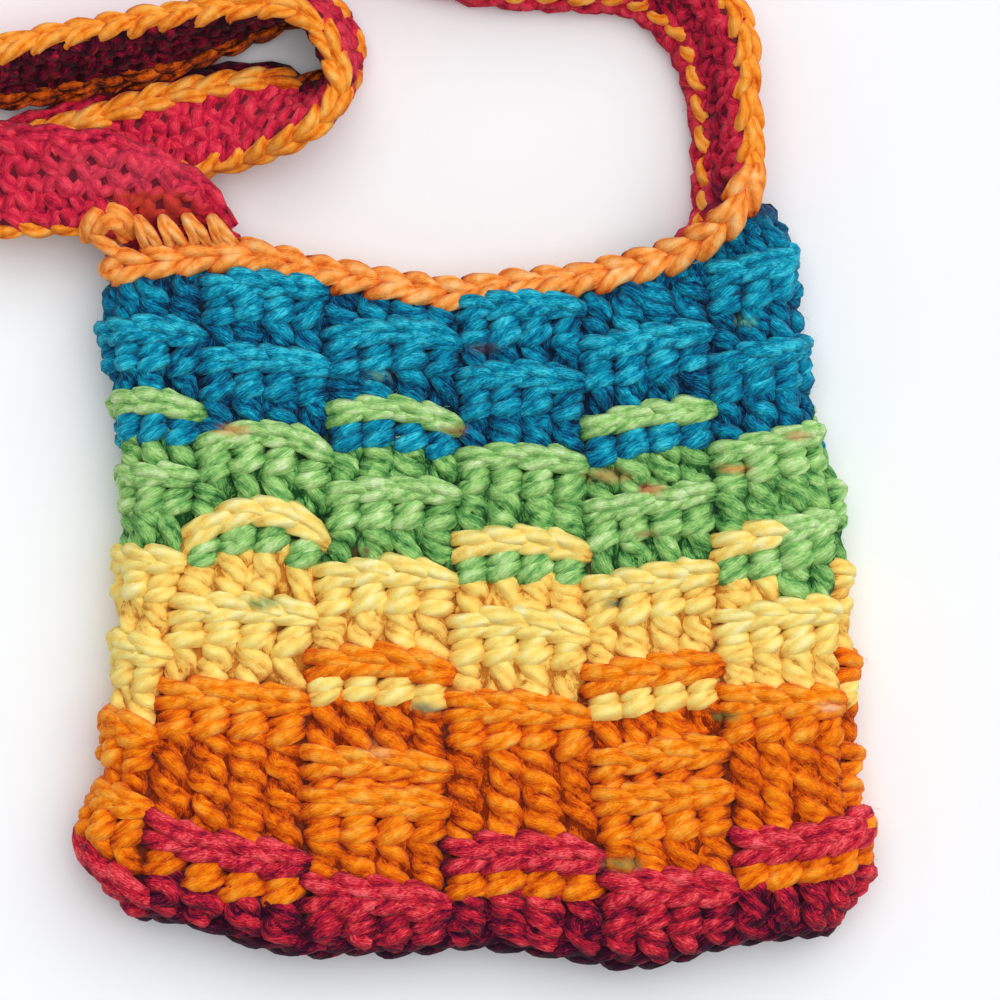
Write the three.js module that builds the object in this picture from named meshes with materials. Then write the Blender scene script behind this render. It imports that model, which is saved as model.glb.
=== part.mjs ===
// A crocheted crossbody bag that lies on its back, with its strap laid in loose loops past the mouth.
// Millimetres. X runs across the bag, Y from its bottom to its mouth, and Z up from the surface it lies on.
// The origin is on that surface, under the middle of the bag.
import * as THREE from "three";

// Stitches: the front is six blocks of four stitches, turned a little round the bag, and the back has as many.
const STITCHES_PER_BLOCK = 4;
const BLOCK_SHIFT = 0.5;
const FRONT_STITCHES = 24;
const SAMPLES_PER_STITCH = 2;
const PANEL_STEPS = 12;

// The bag's wall and its form.
const WALL = 8;
const SIDE_WALL = 9;
const FOLD_HEIGHT = 12;
const FRONT_HEIGHT = 27;
const MOUTH_HEIGHT = 25;
const BOTTOM_LEVEL = -106;
const MOUTH_LEVEL = 94;
const BOTTOM_ROLL = 13;
const BOTTOM_BLUNT = 1.2;
const BOTTOM_ROW = 5;
const INNER_BOTTOM = BOTTOM_LEVEL + 11;
const ROLL_STITCHES = 1.5;
const FRONT_ROLL = 12;
const BACK_ROLL = 9;
const INNER_ROLL = 5;
const MOUTH_BOW_START = 58;
const MOUTH_NARROWS = 30;
const INNER_ROWS = 9;

// The raised work: a plaited bar, the wrapped stitches under it, and the posts between.
const BAR_RISE = 3.2;
const BAR_HALF = 4.4;
const BAR_ARCH = 1.4;
const WRAP_RISE = 2.2;
const WRAP_DROP = 7;
const WRAP_HALF = 3.6;
const POST_RISE = 1.1;
const CREASE_DROP = 4;
const LEAST_ROW_GAP = 2.6;

// Pieces that touch keep this gap.
const GAP = 0.3;
const EDGING_GAP = 0.55;

// The chain edging.
const CHAIN_PITCH = 9.9;
const EDGING_RADIUS = 4;
const EDGING_PLAIT = 0.45;
const EDGING_SIDES = 8;
const STRAP_CHAIN_RADIUS = 2.5;
const STRAP_CHAIN_BEAD = 0.45;
const STRAP_CHAIN_SIDES = 6;

// The strap: a band with a groove for the chain worked on its face.
const STRAP_THICKNESS = 9;
const STRAP_LOW_EDGE = -17;
const STRAP_HIGH_EDGE = 11;
const STRAP_CHAMFER = 2.3;
const GROOVE_MIDDLE = -11.2;
const GROOVE_DEPTH = 3.6;
const GROOVE_FLARE = 0.4;
const STRAP_STEP = 7.5;

// How finely a smooth curve's length is measured, and the least length that counts.
const CURVE_DIVISIONS = 2000;
const ROUTE_DIVISIONS = 40;
const TINY = 1e-6;

const COLOUR = { body: 0x1b7fa0, edging: 0xf59432, strap: 0xc62a4b };

// Each round of stitches: its level, and whether it shows as a bar on the even or on the odd blocks.
const ROUNDS = [
  { level: -88.8, shows: "even" },
  { level: -74.4, shows: "odd" },
  { level: -59.4, shows: "even" },
  { level: -48.6, shows: "even" },
  { level: -29.7, shows: "odd" },
  { level: -20.0, shows: "even" },
  { level: -3.6, shows: "odd" },
  { level: 8.0, shows: "even" },
  { level: 21.0, shows: "odd" },
  { level: 33.3, shows: "even" },
  { level: 47.4, shows: "odd" },
  { level: 56.0, shows: "even" },
  { level: 71.7, shows: "odd" },
  { level: 80.0, shows: "even" },
  { level: 90.5, shows: "odd" },
];

// The bag's outline: its two side edges by level.
const SIDES = [
  { level: -106, left: -103, right: 104.5 },
  { level: -94, left: -113, right: 113 },
  { level: -80, left: -119.5, right: 118 },
  { level: -71, left: -118, right: 117 },
  { level: -62, left: -113, right: 112 },
  { level: -46, left: -113, right: 112.5 },
  { level: -30, left: -109.5, right: 112 },
  { level: 0, left: -108.2, right: 110 },
  { level: 30, left: -106.5, right: 107.5 },
  { level: 55, left: -108.5, right: 100 },
  { level: 78, left: -113, right: 96.5 },
  { level: 94, left: -112.5, right: 91 },
];

// How far the bottom edge and the mouth leave their levels, across the bag.
const BOTTOM_BOW = [
  { x: -120, rise: 16 },
  { x: -105, rise: 11.5 },
  { x: -84, rise: 7.5 },
  { x: -60, rise: -0.2 },
  { x: -30, rise: -0.5 },
  { x: 6, rise: 1.4 },
  { x: 34, rise: -3.2 },
  { x: 52, rise: -4 },
  { x: 74, rise: 1.6 },
  { x: 109, rise: 6.5 },
  { x: 120, rise: 10.5 },
];
const MOUTH_BOW = [
  { x: -115, rise: 1.5 },
  { x: -72, rise: 5.6 },
  { x: -48, rise: 0.5 },
  { x: -9, rise: -6 },
  { x: 6, rise: -3.4 },
  { x: 36, rise: -1 },
  { x: 51, rise: 2.6 },
  { x: 66, rise: 7.4 },
  { x: 78, rise: 16 },
  { x: 84, rise: 22 },
  { x: 92, rise: 25 },
];

// The strap's middle line from the bag's right corner to its left one. Each row gives a place, how high the
// band's lowest edge is above the surface, and the direction from that edge across the band.
const STRAP_ROUTE = [
  { x: 75, y: 113.4, lift: 0, across: [0.5, 0, 0.87] },
  { x: 75.6, y: 135, lift: 0, across: [0.5, 0, 0.87] },
  { x: 74.4, y: 150, lift: 0, across: [0.5, 0, 0.87] },
  { x: 72.5, y: 165.5, lift: 0, across: [0.62, 0.2, 0.76] },
  { x: 66, y: 178, lift: 0, across: [0.58, 0.42, 0.7] },
  { x: 50, y: 188.6, lift: 0, across: [0.33, 0.55, 0.77] },
  { x: 24, y: 190, lift: 0, across: [0.1, 0.52, 0.85] },
  { x: -6, y: 192.6, lift: 0, across: [0.07, 0.5, 0.87] },
  { x: -62, y: 214, lift: 0, across: [0.2, 0.4, 0.89] },
  { x: -118, y: 248, lift: 0, across: [0.15, 0.3, 0.94] },
  { x: -172, y: 271, lift: 0, across: [0.05, 0.2, 0.98] },
  { x: -222, y: 264, lift: 0, across: [-0.1, 0.1, 0.99] },
  { x: -249, y: 230, lift: 0, across: [-0.1, 0, 0.99] },
  { x: -240, y: 190, lift: 0, across: [0, 0, 1] },
  { x: -205, y: 166, lift: 0, across: [0, 0.1, 0.99] },
  { x: -163, y: 158, lift: 0, across: [0, 0.3, 0.95] },
  { x: -128, y: 163, lift: 0, across: [-0.12, 0.5, 0.86] },
  { x: -99, y: 168.5, lift: 0, across: [-0.16, 0.46, 0.87] },
  { x: -70, y: 176.5, lift: 0, across: [-0.08, 0.14, 0.99] },
  { x: -55, y: 178.5, lift: 0, across: [-0.12, -0.12, 0.98] },
  { x: -45.6, y: 173, lift: 0, across: [-0.24, -0.11, 0.96] },
  { x: -41.9, y: 163, lift: 0, across: [-0.17, -0.03, 0.98] },
  { x: -43.2, y: 154.6, lift: 0, across: [0.1, -0.12, 0.99] },
  { x: -53, y: 147, lift: 0, across: [0.2, -0.42, 0.89] },
  { x: -72, y: 144.5, lift: 0, across: [0.32, -0.86, 0.4] },
  { x: -96, y: 139.5, lift: 0, across: [0.29, -0.93, 0.22] },
  { x: -114, y: 134, lift: 0, across: [0.21, -0.96, 0.14] },
  { x: -133, y: 128.5, lift: 0, across: [0.1, -0.99, 0.05] },
  { x: -144, y: 125, lift: 3, across: [0, -1, 0] },
  { x: -148, y: 124.5, lift: 9, across: [0, -1, 0] },
  { x: -143, y: 124, lift: 14.5, across: [0, -1, -0.1] },
  { x: -134, y: 124, lift: 13, across: [0, -0.95, -0.3] },
  { x: -122, y: 124, lift: 12, across: [-0.15, -0.85, -0.45] },
  { x: -111, y: 121.5, lift: 13.5, across: [-0.65, -0.7, -0.3] },
  { x: -96, y: 115, lift: 9.6, across: [-0.95, -0.26, -0.1] },
  { x: -90, y: 105, lift: 3, across: [-1, 0, 0] },
];

// Where the front edging leaves the mouth and climbs onto the strap.
const EDGING_CLIMB = [
  { x: 59.5, y: 106.4, z: 23 },
  { x: 65.5, y: 108.6, z: 26.5 },
  { x: 73.0, y: 111.5, z: 30.0 },
];
const EDGING_START = 0.7;
const EDGING_CLIMB_STITCH = 19.2;
const BACK_EDGING_START = 29.5;
const BACK_EDGING_END = 42.6;

// The join: four long stitches from the front edging to the strap's left end.
const JOIN = {
  stitches: 4,
  left: -104.5,
  pitch: 7.3,
  width: 4.6,
  low: 20.6,
  high: { y: 117.5, z: 25.5 },
  rise: 4.2,
  web: 1.6,
  startShare: 0.8,
  endShare: 0.7,
};

function smoothColumn(rows, key, column) {
  // A smooth curve through one column of a table, held level past its ends.
  const slopes = rows.map((row, i) => {
    const before = rows[Math.max(i - 1, 0)];
    const after = rows[Math.min(i + 1, rows.length - 1)];
    return (after[column] - before[column]) / (after[key] - before[key]);
  });
  return (at) => {
    if (at <= rows[0][key]) return rows[0][column];
    const i = rows.findIndex((row) => row[key] > at) - 1;
    if (i < 0) return rows[rows.length - 1][column];
    const span = rows[i + 1][key] - rows[i][key];
    const t = (at - rows[i][key]) / span;
    const rest = 1 - t;
    return (
      rest * rest * (1 + 2 * t) * rows[i][column] +
      t * t * (3 - 2 * t) * rows[i + 1][column] +
      t * rest * rest * span * slopes[i] -
      t * t * rest * span * slopes[i + 1]
    );
  };
}

const leftEdge = smoothColumn(SIDES, "level", "left");
const rightEdge = smoothColumn(SIDES, "level", "right");
const bottomBow = smoothColumn(BOTTOM_BOW, "x", "rise");
const mouthBow = smoothColumn(MOUTH_BOW, "x", "rise");

function geometryOf(points, triangles) {
  // A closed mesh with its faces turned outwards.
  let volume = 0;
  for (const [a, b, c] of triangles) {
    volume += points[a].dot(new THREE.Vector3().crossVectors(points[b], points[c]));
  }
  const turned = volume < 0 ? triangles.map(([a, b, c]) => [a, c, b]) : triangles;
  const geometry = new THREE.BufferGeometry().setFromPoints(points);
  geometry.setIndex(turned.flat());
  geometry.computeVertexNormals();
  return geometry;
}

function zipLoops(low, high) {
  // Triangles between two closed loops whose points carry a rising place around the bag.
  const triangles = [];
  const placeOf = (loop, i) => loop[i % loop.length].place + (i >= loop.length ? 2 * FRONT_STITCHES : 0);
  let i = 0;
  let j = 0;
  while (i < low.length || j < high.length) {
    const a = low[i % low.length].index;
    const b = high[j % high.length].index;
    const stepLow = j >= high.length || (i < low.length && placeOf(low, i + 1) <= placeOf(high, j + 1));
    if (stepLow) {
      i += 1;
      triangles.push([a, low[i % low.length].index, b]);
    } else {
      j += 1;
      triangles.push([a, high[j % high.length].index, b]);
    }
  }
  return triangles;
}

function zipHalves(loop, points, reversed) {
  // Closes a loop by joining its front half to its back half, from the left fold to the right one.
  const right = loop.findIndex((entry) => entry.place === FRONT_STITCHES);
  const front = loop.slice(0, right + 1);
  const back = [loop[0], ...loop.slice(right).reverse()];
  const xOf = (entry) => points[entry.index].x;
  const triangles = [];
  let i = 0;
  let j = 0;
  while (i < front.length - 1 || j < back.length - 1) {
    const stepFront =
      j === back.length - 1 || (i < front.length - 1 && xOf(front[i + 1]) <= xOf(back[j + 1]));
    const corners = [front[i].index, back[j].index];
    if (stepFront) {
      i += 1;
      corners.push(front[i].index);
    } else {
      j += 1;
      corners.push(back[j].index);
    }
    if (new Set(corners).size === 3) triangles.push(reversed ? corners.reverse() : corners);
  }
  return triangles;
}

function loft(sections) {
  // A closed solid through sections with equal numbers of points, with flat ends.
  const points = sections.flat();
  const sides = sections[0].length;
  const triangles = [];
  for (let k = 0; k + 1 < sections.length; k += 1) {
    for (let i = 0; i < sides; i += 1) {
      const next = (i + 1) % sides;
      const [a, b] = [k * sides + i, k * sides + next];
      triangles.push([a, b, b + sides], [a, b + sides, a + sides]);
    }
  }
  const flat = sections[0].map((_, i) => new THREE.Vector2(...endShape(sections[0], i)));
  const last = (sections.length - 1) * sides;
  for (const [a, b, c] of THREE.ShapeUtils.triangulateShape(flat, [])) {
    triangles.push([a, c, b], [last + a, last + b, last + c]);
  }
  return geometryOf(points, triangles);
}

function endShape(section, i) {
  // One point of an end section in that section's own plane.
  const origin = section[0];
  const along = new THREE.Vector3().subVectors(section[1], origin).normalize();
  const normal = new THREE.Vector3();
  for (let k = 0; k < section.length; k += 1) {
    const here = new THREE.Vector3().subVectors(section[k], origin);
    const next = new THREE.Vector3().subVectors(section[(k + 1) % section.length], origin);
    normal.add(here.cross(next));
  }
  const up = new THREE.Vector3().crossVectors(normal.normalize(), along);
  const offset = new THREE.Vector3().subVectors(section[i], origin);
  return [offset.dot(along), offset.dot(up)];
}

function bump(distance, half) {
  // A rounded swell that ends at the half width.
  const share = Math.min(Math.abs(distance) / half, 1);
  return Math.cos((share * Math.PI) / 2) ** 2;
}

function reliefOfBlock(block, within, level) {
  // How far the work of one block stands out at a place within it and a level.
  const shows = block % 2 === 0 ? "even" : "odd";
  const lump = Math.sin(Math.PI * (within % 1)) ** 2;
  const arch = BAR_ARCH * Math.sin((Math.PI * within) / STITCHES_PER_BLOCK);
  let rise = POST_RISE * lump;
  for (const round of ROUNDS) {
    if (round.shows !== shows) continue;
    const drop = level - round.level - arch;
    rise = Math.max(rise, BAR_RISE * bump(drop, BAR_HALF));
    rise = Math.max(rise, WRAP_RISE * (0.5 + 0.5 * lump) * bump(drop + WRAP_DROP, WRAP_HALF));
  }
  return rise;
}

function relief(place, level) {
  // The raised work anywhere on the front; on a line between blocks it is the mean of the two.
  const block = Math.floor((place + BLOCK_SHIFT) / STITCHES_PER_BLOCK);
  const within = place + BLOCK_SHIFT - block * STITCHES_PER_BLOCK;
  const here = reliefOfBlock(block, within, level);
  if (within > 0) return here;
  return (here + reliefOfBlock(block - 1, STITCHES_PER_BLOCK, level)) / 2;
}

function sideRoll(place, step) {
  // How far a place is round the roll at the nearer fold: 0 at the fold, 1 on the panel.
  const fromFold = Math.min(place, FRONT_STITCHES - place);
  return Math.min(fromFold / step, 1) * (Math.PI / 2);
}

function panelPoint(place, level, form) {
  // A point of a panel by its place across and its level; the form gives its heights and roll.
  const angle = sideRoll(place, ROLL_STITCHES);
  const left = leftEdge(level) + form.inset;
  const right = rightEdge(level) - form.inset;
  const fromFold = form.roll * (1 - Math.cos(angle));
  const share = (place - ROLL_STITCHES) / (FRONT_STITCHES - 2 * ROLL_STITCHES);
  let x = THREE.MathUtils.lerp(left + form.roll, right - form.roll, share);
  if (place < ROLL_STITCHES) x = left + fromFold;
  if (place > FRONT_STITCHES - ROLL_STITCHES) x = right - fromFold;
  const fromBottom = Math.min((level - BOTTOM_LEVEL) / BOTTOM_ROLL, 1);
  const closing = form.closes ? Math.sqrt(1 - (1 - fromBottom) ** 2) : 1;
  const z = form.fold(level) + (form.panel(level) - form.fold(level)) * Math.sin(angle) * closing;
  const y = level + bowAt(x, level);
  return { point: new THREE.Vector3(x, y, z), angle, closing };
}

function bowAt(x, level) {
  // How far a level line is bent by the bottom edge and by the mouth.
  const down = Math.max(0, 1 - (level - BOTTOM_LEVEL) / (MOUTH_LEVEL - BOTTOM_LEVEL));
  const up = Math.max(0, (level - MOUTH_BOW_START) / (MOUTH_LEVEL - MOUTH_BOW_START));
  return bottomBow(x) * down ** 4 + mouthBow(x) * up ** 3;
}

function frontHeight(level) {
  const toMouth = THREE.MathUtils.smoothstep(level, MOUTH_NARROWS, MOUTH_LEVEL);
  return THREE.MathUtils.lerp(FRONT_HEIGHT, MOUTH_HEIGHT, toMouth);
}

const innerFold = (level) => frontHeight(level) / 2;
const FORMS = {
  outerFront: { roll: FRONT_ROLL, inset: 0, closes: true, fold: () => FOLD_HEIGHT, panel: frontHeight },
  outerBack: { roll: BACK_ROLL, inset: 0, closes: true, fold: () => FOLD_HEIGHT, panel: () => 0 },
  innerFront: {
    roll: INNER_ROLL,
    inset: SIDE_WALL,
    closes: false,
    fold: innerFold,
    panel: (level) => frontHeight(level) - WALL,
  },
  innerBack: { roll: INNER_ROLL, inset: SIDE_WALL, closes: false, fold: innerFold, panel: () => WALL },
};

function raisedPoint(place, level) {
  // A point of the front with its raised work, which fades where the panel rolls under.
  const { point, angle, closing } = panelPoint(place, level, FORMS.outerFront);
  const rise = relief(place, level);
  const side = place < FRONT_STITCHES / 2 ? -1 : 1;
  point.x += side * rise * Math.cos(angle) * closing;
  point.y -= rise * (1 - closing);
  point.z += rise * Math.sin(angle) * closing;
  return point;
}

function range(from, to, step) {
  const count = Math.round((to - from) / step);
  return Array.from({ length: count + 1 }, (_, i) => from + i * step);
}

function outerRows() {
  // The levels at which the outer face has points: each bar's crest, the crease under it and the wraps.
  const levels = [BOTTOM_LEVEL + BOTTOM_BLUNT, BOTTOM_LEVEL + BOTTOM_ROW, MOUTH_LEVEL];
  for (const { level } of ROUNDS) levels.push(level, level - CREASE_DROP, level - WRAP_DROP);
  levels.sort((a, b) => a - b);
  const rows = levels.filter((level, i) => i === 0 || level - levels[i - 1] >= LEAST_ROW_GAP);
  rows[rows.length - 1] = MOUTH_LEVEL;
  return rows;
}

function panelPlaces() {
  // Places on a plain panel between the folds, with the roll at each side.
  const half = ROLL_STITCHES / 2;
  const [first, last] = [ROLL_STITCHES, FRONT_STITCHES - ROLL_STITCHES];
  return [half, ...range(first, last, (last - first) / PANEL_STEPS), FRONT_STITCHES - half];
}

const FRONT_PLACES = range(0, FRONT_STITCHES, 1 / SAMPLES_PER_STITCH);
const PANEL_PLACES = panelPlaces();

function bodyGeometry() {
  // The bag: rows of points up its outside, over the rim, and down its inside.
  const points = [];
  const entry = (place, point) => {
    points.push(point);
    return { place, index: points.length - 1 };
  };
  const ahead = (places, level, form) =>
    places.map((place) => entry(place, panelPoint(place, level, form).point));
  const behind = (level, form) =>
    PANEL_PLACES.toReversed().map((place) =>
      entry(2 * FRONT_STITCHES - place, panelPoint(place, level, form).point),
    );
  const outerLoop = (level) => [
    ...FRONT_PLACES.map((place) => entry(place, raisedPoint(place, level))),
    ...behind(level, FORMS.outerBack),
  ];
  const innerLoop = (level) => [
    ...ahead([0, ...PANEL_PLACES, FRONT_STITCHES], level, FORMS.innerFront),
    ...behind(level, FORMS.innerBack),
  ];
  const innerLevels = range(0, INNER_ROWS, 1).map((i) =>
    THREE.MathUtils.lerp(MOUTH_LEVEL, INNER_BOTTOM, i / INNER_ROWS),
  );
  const loops = [...outerRows().map(outerLoop), ...innerLevels.map(innerLoop)];
  const triangles = loops.slice(1).flatMap((loop, i) => zipLoops(loops[i], loop));
  triangles.push(...zipHalves(loops[0], points, false));
  triangles.push(...zipHalves(loops[loops.length - 1], points, true));
  return geometryOf(points, triangles);
}

function rimLevel(x) {
  // How far up the rim's straight stretches reach at a place across, on either panel.
  const levels = Object.values(FORMS).map((form) => {
    const places = form === FORMS.outerFront ? FRONT_PLACES : [0, ...PANEL_PLACES, FRONT_STITCHES];
    const rim = places.map((place) => panelPoint(place, MOUTH_LEVEL, form).point);
    const after = rim.findIndex((point) => point.x > x);
    if (after < 1) return BOTTOM_LEVEL;
    const share = (x - rim[after - 1].x) / (rim[after].x - rim[after - 1].x);
    return THREE.MathUtils.lerp(rim[after - 1].y, rim[after].y, share);
  });
  return Math.max(...levels);
}

function rimPoint(place, height) {
  // The middle of the wall's rim at a place across the mouth.
  const { point } = panelPoint(place, MOUTH_LEVEL, FORMS.outerFront);
  return new THREE.Vector3(point.x, rimLevel(point.x), height);
}

function frameAlong(line) {
  // The line's points with the direction at each.
  return line.map((point, i) => {
    const before = line[Math.max(i - 1, 0)];
    const after = line[Math.min(i + 1, line.length - 1)];
    return { point, along: new THREE.Vector3().subVectors(after, before).normalize() };
  });
}

function evenly(points, step) {
  // Points at even steps on a smooth curve.
  const curve = new THREE.CatmullRomCurve3(points, false, "centripetal");
  curve.arcLengthDivisions = CURVE_DIVISIONS;
  return curve.getSpacedPoints(Math.round(curve.getLength() / step));
}

function chainGeometry(line, radius, depth, sides, lobes) {
  // A chain of stitches as a rope along a line: its lobes turn once for each stitch.
  let travelled = 0;
  const up = new THREE.Vector3(0, 0, 1);
  const sections = frameAlong(line).map(({ point, along }, k) => {
    if (k > 0) travelled += point.distanceTo(line[k - 1]);
    const side = new THREE.Vector3().crossVectors(up, along).normalize();
    const over = new THREE.Vector3().crossVectors(along, side);
    const turn = (Math.PI * 2 * travelled) / CHAIN_PITCH;
    return range(0, sides - 1, 1).map((i) => {
      const angle = (i / sides) * Math.PI * 2;
      const reach = radius - depth + depth * Math.cos(lobes * angle - turn);
      return point
        .clone()
        .addScaledVector(side, reach * Math.cos(angle))
        .addScaledVector(over, reach * Math.sin(angle));
    });
  });
  return loft(sections);
}

function edgingLine(places, height) {
  // A line just clear of the rim, at the middle of the wall.
  const line = frameAlong(places.map((place) => rimPoint(place, height)));
  return line.map(({ point, along }) => {
    const out = new THREE.Vector3(-along.y, along.x, 0).normalize();
    if (out.y < 0) out.negate();
    return point.clone().addScaledVector(out, EDGING_RADIUS + EDGING_GAP);
  });
}

function frontEdgingGeometry() {
  const rim = edgingLine(range(EDGING_START, EDGING_CLIMB_STITCH, 0.5), MOUTH_HEIGHT - WALL / 2);
  const climb = EDGING_CLIMB.map((row) => new THREE.Vector3(row.x, row.y, row.z));
  const line = evenly([...rim, ...climb], CHAIN_PITCH / 4);
  return chainGeometry(line, EDGING_RADIUS, EDGING_PLAIT, EDGING_SIDES, 2);
}

function backEdgingGeometry() {
  const places = range(BACK_EDGING_START, BACK_EDGING_END, 0.5).map((place) => 2 * FRONT_STITCHES - place);
  const line = evenly(edgingLine(places, WALL / 2 + GAP), CHAIN_PITCH / 3);
  return chainGeometry(line, EDGING_RADIUS, EDGING_PLAIT, EDGING_SIDES - 2, 2);
}

function strapFrames() {
  // Places along the strap, each with its direction, the direction across the band, and its face.
  const middle = STRAP_ROUTE.map((row) => {
    const across = new THREE.Vector3(...row.across).normalize();
    const stands = Math.abs(across.z) * -STRAP_LOW_EDGE;
    const lies = (Math.sqrt(1 - across.z ** 2) * STRAP_THICKNESS) / 2;
    return { place: new THREE.Vector3(row.x, row.y, row.lift + stands + lies), across };
  });
  const curve = new THREE.CatmullRomCurve3(middle.map((row) => row.place), false, "centripetal");
  const lengths = [0];
  const fine = STRAP_ROUTE.length * ROUTE_DIVISIONS;
  for (let i = 1; i <= fine; i += 1) {
    const step = curve.getPoint(i / fine).distanceTo(curve.getPoint((i - 1) / fine));
    lengths.push(lengths[i - 1] + step);
  }
  const count = Math.round(lengths[fine] / STRAP_STEP);
  return range(0, count, 1).map((k) => {
    const at = (lengths[fine] * k) / count;
    const i = Math.max(1, lengths.findIndex((length) => length >= at - TINY));
    const t = (i - 1 + (at - lengths[i - 1]) / (lengths[i] - lengths[i - 1])) / fine;
    const along = curve.getTangent(t);
    const row = Math.min(Math.floor(t * (middle.length - 1)), middle.length - 2);
    const share = t * (middle.length - 1) - row;
    const across = middle[row].across.clone().lerp(middle[row + 1].across, share);
    across.addScaledVector(along, -across.dot(along)).normalize();
    const face = new THREE.Vector3().crossVectors(across, along);
    const place = curve.getPoint(t);
    const reach = -STRAP_LOW_EDGE * Math.abs(across.z) + (STRAP_THICKNESS / 2) * Math.abs(face.z);
    place.z = Math.max(place.z, reach);
    return { place, along, across, face };
  });
}

function bandSection() {
  // The strap's section: across the band, and out of its face, with the groove for the chain.
  const half = STRAP_THICKNESS / 2;
  const edge = half - STRAP_CHAMFER;
  const grooveHalf = STRAP_CHAIN_RADIUS + GAP;
  return [
    [STRAP_LOW_EDGE, -edge],
    [STRAP_LOW_EDGE, edge],
    [STRAP_LOW_EDGE + STRAP_CHAMFER, half],
    [STRAP_HIGH_EDGE - STRAP_CHAMFER, half],
    [STRAP_HIGH_EDGE, edge],
    [STRAP_HIGH_EDGE, -edge],
    [STRAP_HIGH_EDGE - STRAP_CHAMFER, -half],
    [GROOVE_MIDDLE + grooveHalf + GROOVE_FLARE, -half],
    [GROOVE_MIDDLE + grooveHalf, GROOVE_DEPTH - half],
    [GROOVE_MIDDLE - grooveHalf, GROOVE_DEPTH - half],
    [GROOVE_MIDDLE - grooveHalf - GROOVE_FLARE, -half],
    [STRAP_LOW_EDGE + STRAP_CHAMFER, -half],
  ];
}

function onBand(frame, across, out) {
  return frame.place.clone().addScaledVector(frame.across, across).addScaledVector(frame.face, out);
}

function strapGeometry(frames) {
  // The band, with both ends cut to follow the rim that they are worked onto.
  const shape = bandSection();
  const sections = frames.map((frame) => shape.map(([across, out]) => onBand(frame, across, out)));
  for (const end of [sections[0], sections[sections.length - 1]]) {
    for (const point of end) point.y = rimLevel(point.x) + EDGING_GAP;
  }
  return loft(sections);
}

function strapChainGeometry(frames, across, out) {
  const line = evenly(frames.map((frame) => onBand(frame, across, out)), CHAIN_PITCH / 2);
  return chainGeometry(line, STRAP_CHAIN_RADIUS, STRAP_CHAIN_BEAD, STRAP_CHAIN_SIDES, 0);
}

function joinGeometry() {
  // Four ribs on a thin web, as one strip that slopes from the edging up onto the strap.
  const sections = [];
  for (let i = 0; i < JOIN.stitches; i += 1) {
    const middle = JOIN.left + i * JOIN.pitch;
    const foot = (JOIN.pitch + JOIN.width) / 4;
    sections.push([middle - foot, JOIN.web]);
    sections.push([middle - JOIN.width / 4, JOIN.rise], [middle + JOIN.width / 4, JOIN.rise]);
    sections.push([middle + foot, JOIN.web]);
  }
  return loft(
    sections.map(([x, rise]) => {
      const start = rimLevel(x) + EDGING_GAP + 2 * EDGING_RADIUS + GAP;
      return [
        new THREE.Vector3(x, start, JOIN.low),
        new THREE.Vector3(x, JOIN.high.y, JOIN.high.z),
        new THREE.Vector3(x, JOIN.high.y, JOIN.high.z + rise * JOIN.endShare),
        new THREE.Vector3(x, (start + JOIN.high.y) / 2, (JOIN.low + JOIN.high.z) / 2 + rise),
        new THREE.Vector3(x, start, JOIN.low + rise * JOIN.startShare),
      ];
    }),
  );
}

function meshOf(name, geometry, colour) {
  const material = new THREE.MeshStandardMaterial({ color: colour, roughness: 0.95, metalness: 0 });
  const mesh = new THREE.Mesh(geometry, material);
  mesh.name = name;
  return mesh;
}

const frames = strapFrames();
const chainFrames = frames.slice(1, -1);
const highChain = STRAP_HIGH_EDGE + GAP + STRAP_CHAIN_RADIUS;
const chainOut = -STRAP_THICKNESS / 2;

const bag = new THREE.Group();
bag.add(meshOf("bag_body", bodyGeometry(), COLOUR.body));
bag.add(meshOf("mouth_edging_front", frontEdgingGeometry(), COLOUR.edging));
bag.add(meshOf("mouth_edging_back", backEdgingGeometry(), COLOUR.edging));
bag.add(meshOf("strap", strapGeometry(frames), COLOUR.strap));
bag.add(meshOf("strap_edging_front", strapChainGeometry(chainFrames, highChain, 0), COLOUR.edging));
bag.add(meshOf("strap_edging_back", strapChainGeometry(chainFrames, GROOVE_MIDDLE, chainOut), COLOUR.edging));
bag.add(meshOf("strap_join", joinGeometry(), COLOUR.edging));

export default bag;
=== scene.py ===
"""The looks of a crocheted crossbody bag that lies on its back, with its strap laid in loops past the mouth.

Lengths are in millimetres until a mesh is made, and in metres from there. X runs across the bag, Y from its
bottom to its mouth, and Z up from the surface that it lies on.
"""

from __future__ import annotations

import logging
import math
from collections import defaultdict
from collections.abc import Callable, Sequence
from dataclasses import dataclass, field
from enum import Enum

import bpy
import numpy as np
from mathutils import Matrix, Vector

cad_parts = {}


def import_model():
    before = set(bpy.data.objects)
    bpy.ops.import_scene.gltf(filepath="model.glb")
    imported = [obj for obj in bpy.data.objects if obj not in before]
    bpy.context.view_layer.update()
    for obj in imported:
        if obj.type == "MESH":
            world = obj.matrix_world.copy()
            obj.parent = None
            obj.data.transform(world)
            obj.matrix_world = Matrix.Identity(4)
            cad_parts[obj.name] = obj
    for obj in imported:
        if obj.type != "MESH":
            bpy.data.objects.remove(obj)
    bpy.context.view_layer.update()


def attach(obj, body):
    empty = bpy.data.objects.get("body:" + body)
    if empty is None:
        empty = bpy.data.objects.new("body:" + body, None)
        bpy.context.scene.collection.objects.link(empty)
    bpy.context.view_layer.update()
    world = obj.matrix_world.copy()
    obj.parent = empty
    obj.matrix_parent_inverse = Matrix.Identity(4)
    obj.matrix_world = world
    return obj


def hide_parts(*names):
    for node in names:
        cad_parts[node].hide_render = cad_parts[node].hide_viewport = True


LOG = logging.getLogger("crochet_bag")
MM = 0.001
TAU = 2 * math.pi
SEED = 11
PHOTO_SCALE = 0.30
PHOTO_MIDDLE = (480, 600)

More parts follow.
